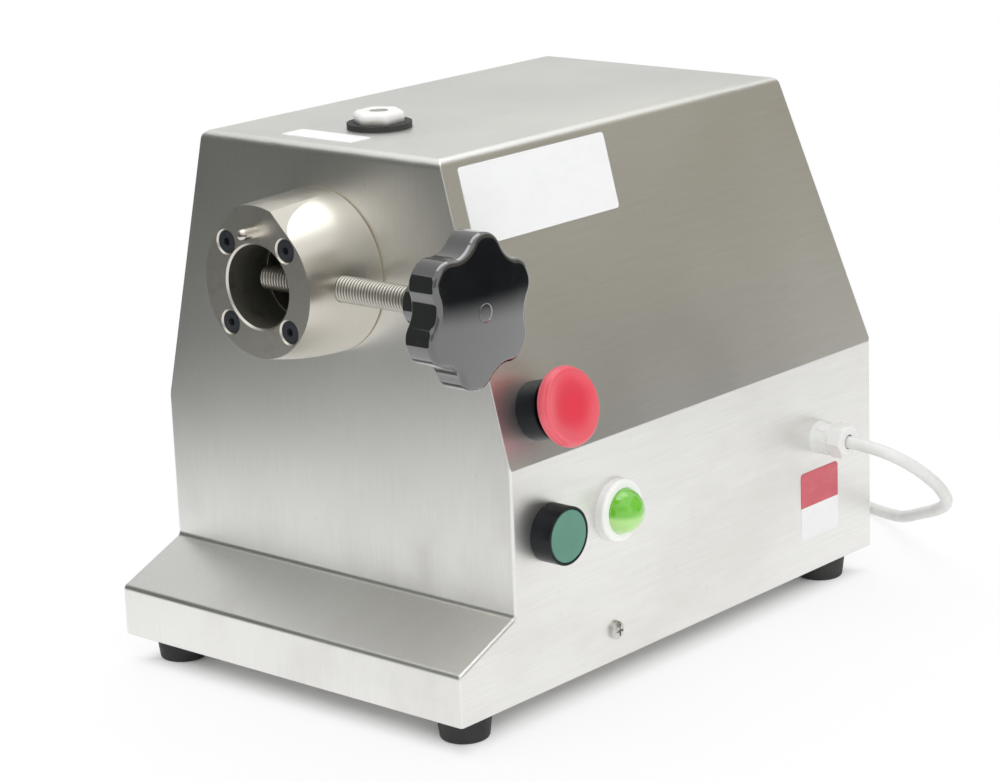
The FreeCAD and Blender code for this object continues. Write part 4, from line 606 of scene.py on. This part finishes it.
def makeGate():
    low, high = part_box("clamp_knob")
    middleY, middleZ = (low.y + high.y) / 2, (low.z + high.z) / 2
    build = bmesh.new()
    rings = []
    for index in range(gate["rings"]):
        radius = gate["radius"] * (1 - index / gate["rings"])
        lift = gate["height"] * eased(index, *gate["rise"]) - radius ** 2 / (2 * gate["domeRadius"])
        rings.append(roundRing(build, gate["steps"], lambda angle: (
            high.x + lift, middleY + radius * math.cos(angle), middleZ + radius * math.sin(angle))))
    skin(build, rings, smoothEnd=True)
    addPiece("knobGate", build, finishes["black_gloss"], "knob")


makeGate()
print("gate on the knob")


# Filler cap with rounded shoulders in place of the plain hexagon

fillerCap = {
    "flats": 12.5 * mm, "corner": 13.7 * mm, "height": 6.3 * mm, "steps": 96,
    "round": 2.8 * mm, "roundSteps": 8, "dimple": 5.2 * mm, "depth": 1.4 * mm,
    "dimpleProfile": ((1.15, 0.0), (1.0, -0.15), (0.9, -0.8), (0.75, -1.0), (0.3, -1.0)),
    # the two darker colours are painted shade, towards the washer and in the dimple
    "white": (0.87, 0.87, 0.855), "grime": (0.60, 0.585, 0.53), "dimpleShade": (0.33, 0.32, 0.29),
    "cloudScale": 140.0, "cloudShift": 4 * mm, "cloudRoughness": 0.12, "grimeShare": 0.5,
    "dimpleShadeFrom": 0.3 * mm, "dimpleShadeLimits": (0.2, 0.5), "dimpleShadeLeast": 0.7, "roughness": 0.34,
    "relief": 0.08, "bumpDepth": 0.3 * mm, "sockets": {"Subsurface Weight": 0.10, "Subsurface Scale": 0.003},
}


def fillerMaterial(middleX, middleY, seat):
    # White nylon, with painted shade in the dimple and towards the washer
    look = fillerCap
    material, shade, shader = startMaterial("fillerNylon", look["sockets"])
    where = place(shade)
    x, y, z = split(shade, where)
    fromAxis = fromLine(shade, x - middleX, y - middleY)
    belowCrown = (seat + look["height"] - look["dimpleShadeFrom"] - z) > 0.0
    inDimple = ((look["dimple"] - fromAxis) > 0.0) * belowCrown
    cloud = noise(shade, where, look["cloudScale"], detail=4.0)
    # painted shade: darker towards the washer
    baseShadeFade = spread(shade, z + look["cloudShift"] * (cloud - noiseMiddle), seat,
                    seat + look["grimeShare"] * look["height"])
    nylon = tint(shade, baseShadeFade, look["grime"], look["white"])
    # painted shade in the dimple
    dimpleShaded = inDimple * spread(shade, cloud, *look["dimpleShadeLimits"], look["dimpleShadeLeast"], 1.0)
    feed(shader, {
        "Base Color": tint(shade, dimpleShaded, nylon, look["dimpleShade"]),
        "Roughness": look["roughness"] + look["cloudRoughness"] * (cloud - noiseMiddle),
        "Normal": bump(shade, cloud, look["relief"], look["bumpDepth"]),
    })
    return material


def makeFillerCap():
    # Soft hexagon: straight wall, rounded shoulder, flat crown and a shallow dimple
    look = fillerCap
    middle = middleOf("filler_plug")
    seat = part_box("filler_washer")[1].z
    build = bmesh.new()
    rings = []

    def addRing(radiusAt, height):
        rings.append(roundRing(build, look["steps"], lambda angle: (
            middle.x + radiusAt(angle) * math.cos(angle), middle.y + radiusAt(angle) * math.sin(angle),
            seat + height)))

    def hexagon(angle):
        fromFlat = (angle + math.pi / 6) % (math.pi / 3) - math.pi / 6
        return min(look["flats"] / math.cos(fromFlat), look["corner"])

    addRing(hexagon, 0.0)
    for step in range(look["roundSteps"] + 1):
        angleUp = math.pi / 2 * step / look["roundSteps"]
        inset, drop = look["round"] * (1 - math.cos(angleUp)), look["round"] * (1 - math.sin(angleUp))
        addRing(lambda angle: hexagon(angle) - inset, look["height"] - drop)
    for radius, height in look["dimpleProfile"]:
        addRing(lambda angle: look["dimple"] * radius, look["height"] + height * look["depth"])
    skin(build, rings, smoothEnd=True)
    finish = fillerMaterial(middle.x, middle.y, seat)
    piece = addPiece("fillerCap", build, finish, "housing")
    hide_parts("filler_plug")


makeFillerCap()
print("filler cap made")


# Blank plates on the hood, in millimetres

sideX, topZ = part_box("casing")[1].x / mm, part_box("casing")[1].z / mm
plates = {
    "slopePlate": {"corner": (sideX, -126.0, 140.0), "along": (0, 1, 0), "upward": upSlope, "out": outOfSlope,
                   "raised": 114.0, "size": (115.5, 41.0), "round": 2.0, "sheet": 0.35, "twoTone": False},
    "sidePlate": {"corner": (sideX, 112.0, 36.0), "along": (0, 1, 0), "upward": up, "out": outOfSide,
                  "raised": 0.0, "size": (36.0, 40.0), "round": 2.5, "sheet": 0.35, "twoTone": True},
    "topPlate": {"corner": (-38.0, -125.0, topZ), "along": (1, 0, 0), "upward": (0, 1, 0), "out": up,
                 "raised": 0.0, "size": (50.0, 16.0), "round": 0.8, "sheet": 0.3, "twoTone": False},
}
plateEdge = {"wall": 0.6, "bevel": 0.4, "cornerSteps": 6}
vinyl = {
    "white": (0.92, 0.925, 0.93), "grey": (0.89, 0.895, 0.90), "red": (0.63, 0.09, 0.12),
    "faded": (0.68, 0.15, 0.18), "splitHeight": 55.5 * mm, "scuffStretch": (90.0, 40.0, 90.0),
    "scuffLimits": (0.4, 0.75), "scuffRoughness": 0.12, "fibreScale": 1800.0, "fibreRoughness": 0.05,
    "roughness": 0.32, "relief": 0.03, "depth": 0.1 * mm,
    "sockets": {"Coat Weight": 0.2, "Coat Roughness": 0.25},
}


def vinylMaterial(name, twoTone):
    # Stuck-on film: faint handling marks, and for two tones a straight split at one height
    material, shade, shader = startMaterial(name, vinyl["sockets"])
    where = place(shade)
    scuff = patches(shade, stretched(shade, where, vinyl["scuffStretch"]), 1.0, vinyl["scuffLimits"])
    film = tint(shade, scuff, vinyl["white"], vinyl["grey"])
    if twoTone:
        upper = split(shade, where)[2] > vinyl["splitHeight"]
        film = tint(shade, upper, film, tint(shade, scuff, vinyl["red"], vinyl["faded"]))
    fibre = noise(shade, where, vinyl["fibreScale"], detail=2.0)
    feed(shader, {
        "Base Color": film,
        "Roughness": (vinyl["roughness"] + vinyl["scuffRoughness"] * scuff
                      + vinyl["fibreRoughness"] * (fibre - noiseMiddle)),
        "Normal": bump(shade, fibre, vinyl["relief"], vinyl["depth"]),
    })
    return material


def makePlate(name, plate, material):
    # A rounded film with a thin bevelled rim, lying on the sheet
    along, upward, out = [Vector(plate[key]).normalized() for key in ("along", "upward", "out")]
    base = Vector(plate["corner"]) + upward * plate["raised"]
    width, height = plate["size"]
    near, sheet = plate["round"], plate["sheet"]
    centres = ((width - near, near), (width - near, height - near), (near, height - near), (near, near))
    steps = plateEdge["cornerSteps"]
    build = bmesh.new()
    rings = []
    for inset, lift in ((0.0, 0.0), (0.0, plateEdge["wall"] * sheet), (plateEdge["bevel"] * sheet, sheet)):
        ring = []
        for turn, (centreX, centreY) in enumerate(centres):
            for step in range(steps + 1):
                angle = fullTurn / 4 * (turn - 1 + step / steps)
                reach = near - inset
                point = (base + along * (centreX + reach * math.cos(angle))
                         + upward * (centreY + reach * math.sin(angle)) + out * lift)
                ring.append(build.verts.new(point * mm))
        rings.append(ring)
    skin(build, rings, smoothSides=False)
    addPiece(name, build, material, "housing")


films = {False: vinylMaterial("plainVinyl", False), True: vinylMaterial("twoToneVinyl", True)}
for plateName, plate in plates.items():
    makePlate(plateName, plate, films[plate["twoTone"]])
print("plates laid:", len(plates))


# Floor and studio light

studio = {
    "keyPower": 17.0, "keySize": 1.8, "keyPlace": (-0.35, 0.05, 1.7),
    "fillPower": 8.0, "fillSize": 1.2, "fillPlace": (1.5, -0.9, 0.9),
    "aim": (0, 0, 0.12), "ambient": 0.68, "white": (1, 1, 1),
}

paper = {
    "radius": 6.0, "sides": 96, "colour": (0.92, 0.92, 0.92), "light": (0.94, 0.94, 0.94), "grainScale": 30.0,
    "footprint": (0.10, 0.157), "whiteNear": 0.80, "whiteFrom": 0.03, "whiteBy": 0.6,
    "sockets": {"Roughness": 0.9, "Specular IOR Level": 0.1},
}

cards = {  # low edge, then high edge
    "rightCard": {"low": ((1.9, 0.2, 0.10), (0.3, 2.0, 0.10)), "high": ((0.3, 2.0, 1.5), (1.9, 0.2, 1.5)),
                  "colour": (0.31, 0.29, 0.235), "fade": 0.02},
    "nearCard": {"low": ((0.825, 0.284, 0.0), (0.495, 0.576, 0.0)),
                 "high": ((0.495, 0.576, 0.22), (0.825, 0.284, 0.22)),
                 "colour": (0.02, 0.022, 0.024), "fade": 0.09},
    "leftCard": {"low": ((-0.75, -0.05, 0.0), (0.15, -0.85, 0.0)),
                 "high": ((0.15, -0.85, 0.60), (-0.75, -0.05, 0.60)),
                 "colour": (0.10, 0.105, 0.095), "fade": 0.02},
    "backCard": {"low": ((0.1, 1.9, 0.06), (-1.9, 0.2, 0.06)), "high": ((-1.9, 0.2, 1.5), (0.1, 1.9, 1.5)),
                 "colour": (0.52, 0.53, 0.51), "fade": 0.02},
    "frontCard": {"low": ((2.3, -0.9, 0.35), (0.6, -2.3, 0.35)), "high": ((0.6, -2.3, 1.7), (2.3, -0.9, 1.7)),
                  "colour": (0.50, 0.50, 0.49), "fade": 0.02},
    "overCard": {"low": ((-1.5, 0.8, 1.0), (-1.5, -0.9, 1.0)), "high": ((-0.5, -0.9, 1.3), (-0.5, 0.8, 1.3)),
                 "colour": (0.64, 0.64, 0.63), "fade": 0.02},
}


def seenDirectly(shade):
    # One for what the camera sees, itself or in metal and glass
    rays = shade.node("ShaderNodeLightPath").socket.node.outputs
    straight, glossy, through = [Shade(shade.tree, rays[name]) for name in (
        "Is Camera Ray", "Is Glossy Ray", "Is Transmission Ray")]
    return shade.maths("MINIMUM", straight + glossy + through, 1.0)


def makeFloor():
    # Lit paper that keeps the shadow, going over to plain white further out
    mesh = bpy.data.meshes.new("floor")
    build = bmesh.new()
    bmesh.ops.create_circle(build, cap_ends=True, segments=paper["sides"], radius=paper["radius"])
    build.to_mesh(mesh)
    build.free()
    floor = bpy.data.objects.new("floor", mesh)
    scene.collection.objects.link(floor)
    material, shade, shader = startMaterial("paleFloor", paper["sockets"])
    where = place(shade)
    grain = noise(shade, where, paper["grainScale"])
    feed(shader, {"Base Color": tint(shade, grain, paper["colour"], paper["light"])})
    x, y = split(shade, where)[:2]
    away = shade.maths("MAXIMUM", abs(x) - paper["footprint"][0], abs(y) - paper["footprint"][1])
    share = (spread(shade, away, 0.0, paper["whiteFrom"], 0.0, paper["whiteNear"])
             + spread(shade, away, paper["whiteFrom"], paper["whiteBy"], 0.0, 1.0 - paper["whiteNear"]))
    white = shade.node("ShaderNodeEmission", values={"Color": (*studio["white"], 1), "Strength": 1.0})
    lit = Shade(shade.tree, shader.outputs["BSDF"])
    mixed = shade.node("ShaderNodeMixShader", values={0: share * seenDirectly(shade), 1: lit, 2: white})
    output = material.node_tree.nodes["Material Output"]
    material.node_tree.links.new(mixed.socket, output.inputs["Surface"])
    mesh.materials.append(material)


def softLight(name, spot, power, size, mirrored):
    data = bpy.data.lights.new(name, "AREA")
    data.energy = power
    data.size = size
    lamp = bpy.data.objects.new(name, data)
    lamp.location = spot
    lamp.visible_glossy = mirrored
    lamp.rotation_mode = "QUATERNION"
    lamp.rotation_quaternion = (Vector(spot) - Vector(studio["aim"])).to_track_quat("Z", "Y")
    scene.collection.objects.link(lamp)


def greyCard(name, card):
    # Seen only in reflections: it gives the sheet metal something darker than the white room to mirror
    mesh = bpy.data.meshes.new(name)
    mesh.from_pydata([*card["low"], *card["high"]], [], [(0, 1, 2, 3)])
    sheet = bpy.data.objects.new(name, mesh)
    scene.collection.objects.link(sheet)
    material, shade, shader = startMaterial(name, {
        "Base Color": (0, 0, 0, 1), "Specular IOR Level": 0.0, "Emission Strength": 1.0})
    height = split(shade, place(shade))[2] - card["low"][0][2]
    shown = spread(shade, height, 0.0, card["fade"])
    feed(shader, {"Emission Color": tint(shade, shown, studio["white"], card["colour"])})
    mesh.materials.append(material)
    sheet.visible_camera = False
    sheet.visible_shadow = False
    sheet.visible_diffuse = False


def lightRoom():
    softLight("keyLight", studio["keyPlace"], studio["keyPower"], studio["keySize"], mirrored=True)
    softLight("fillLight", studio["fillPlace"], studio["fillPower"], studio["fillSize"], mirrored=False)
    world = bpy.data.worlds.new("whiteRoom")
    world.use_nodes = True
    scene.world = world
    shade = Shade(world.node_tree)
    level = between(shade, seenDirectly(shade), studio["ambient"], 1.0)
    background = world.node_tree.nodes["Background"]
    background.inputs["Color"].default_value = (*studio["white"], 1)
    world.node_tree.links.new(level.socket, background.inputs["Strength"])
    for name, card in cards.items():
        greyCard(name, card)


makeFloor()
lightRoom()
print("room lit")
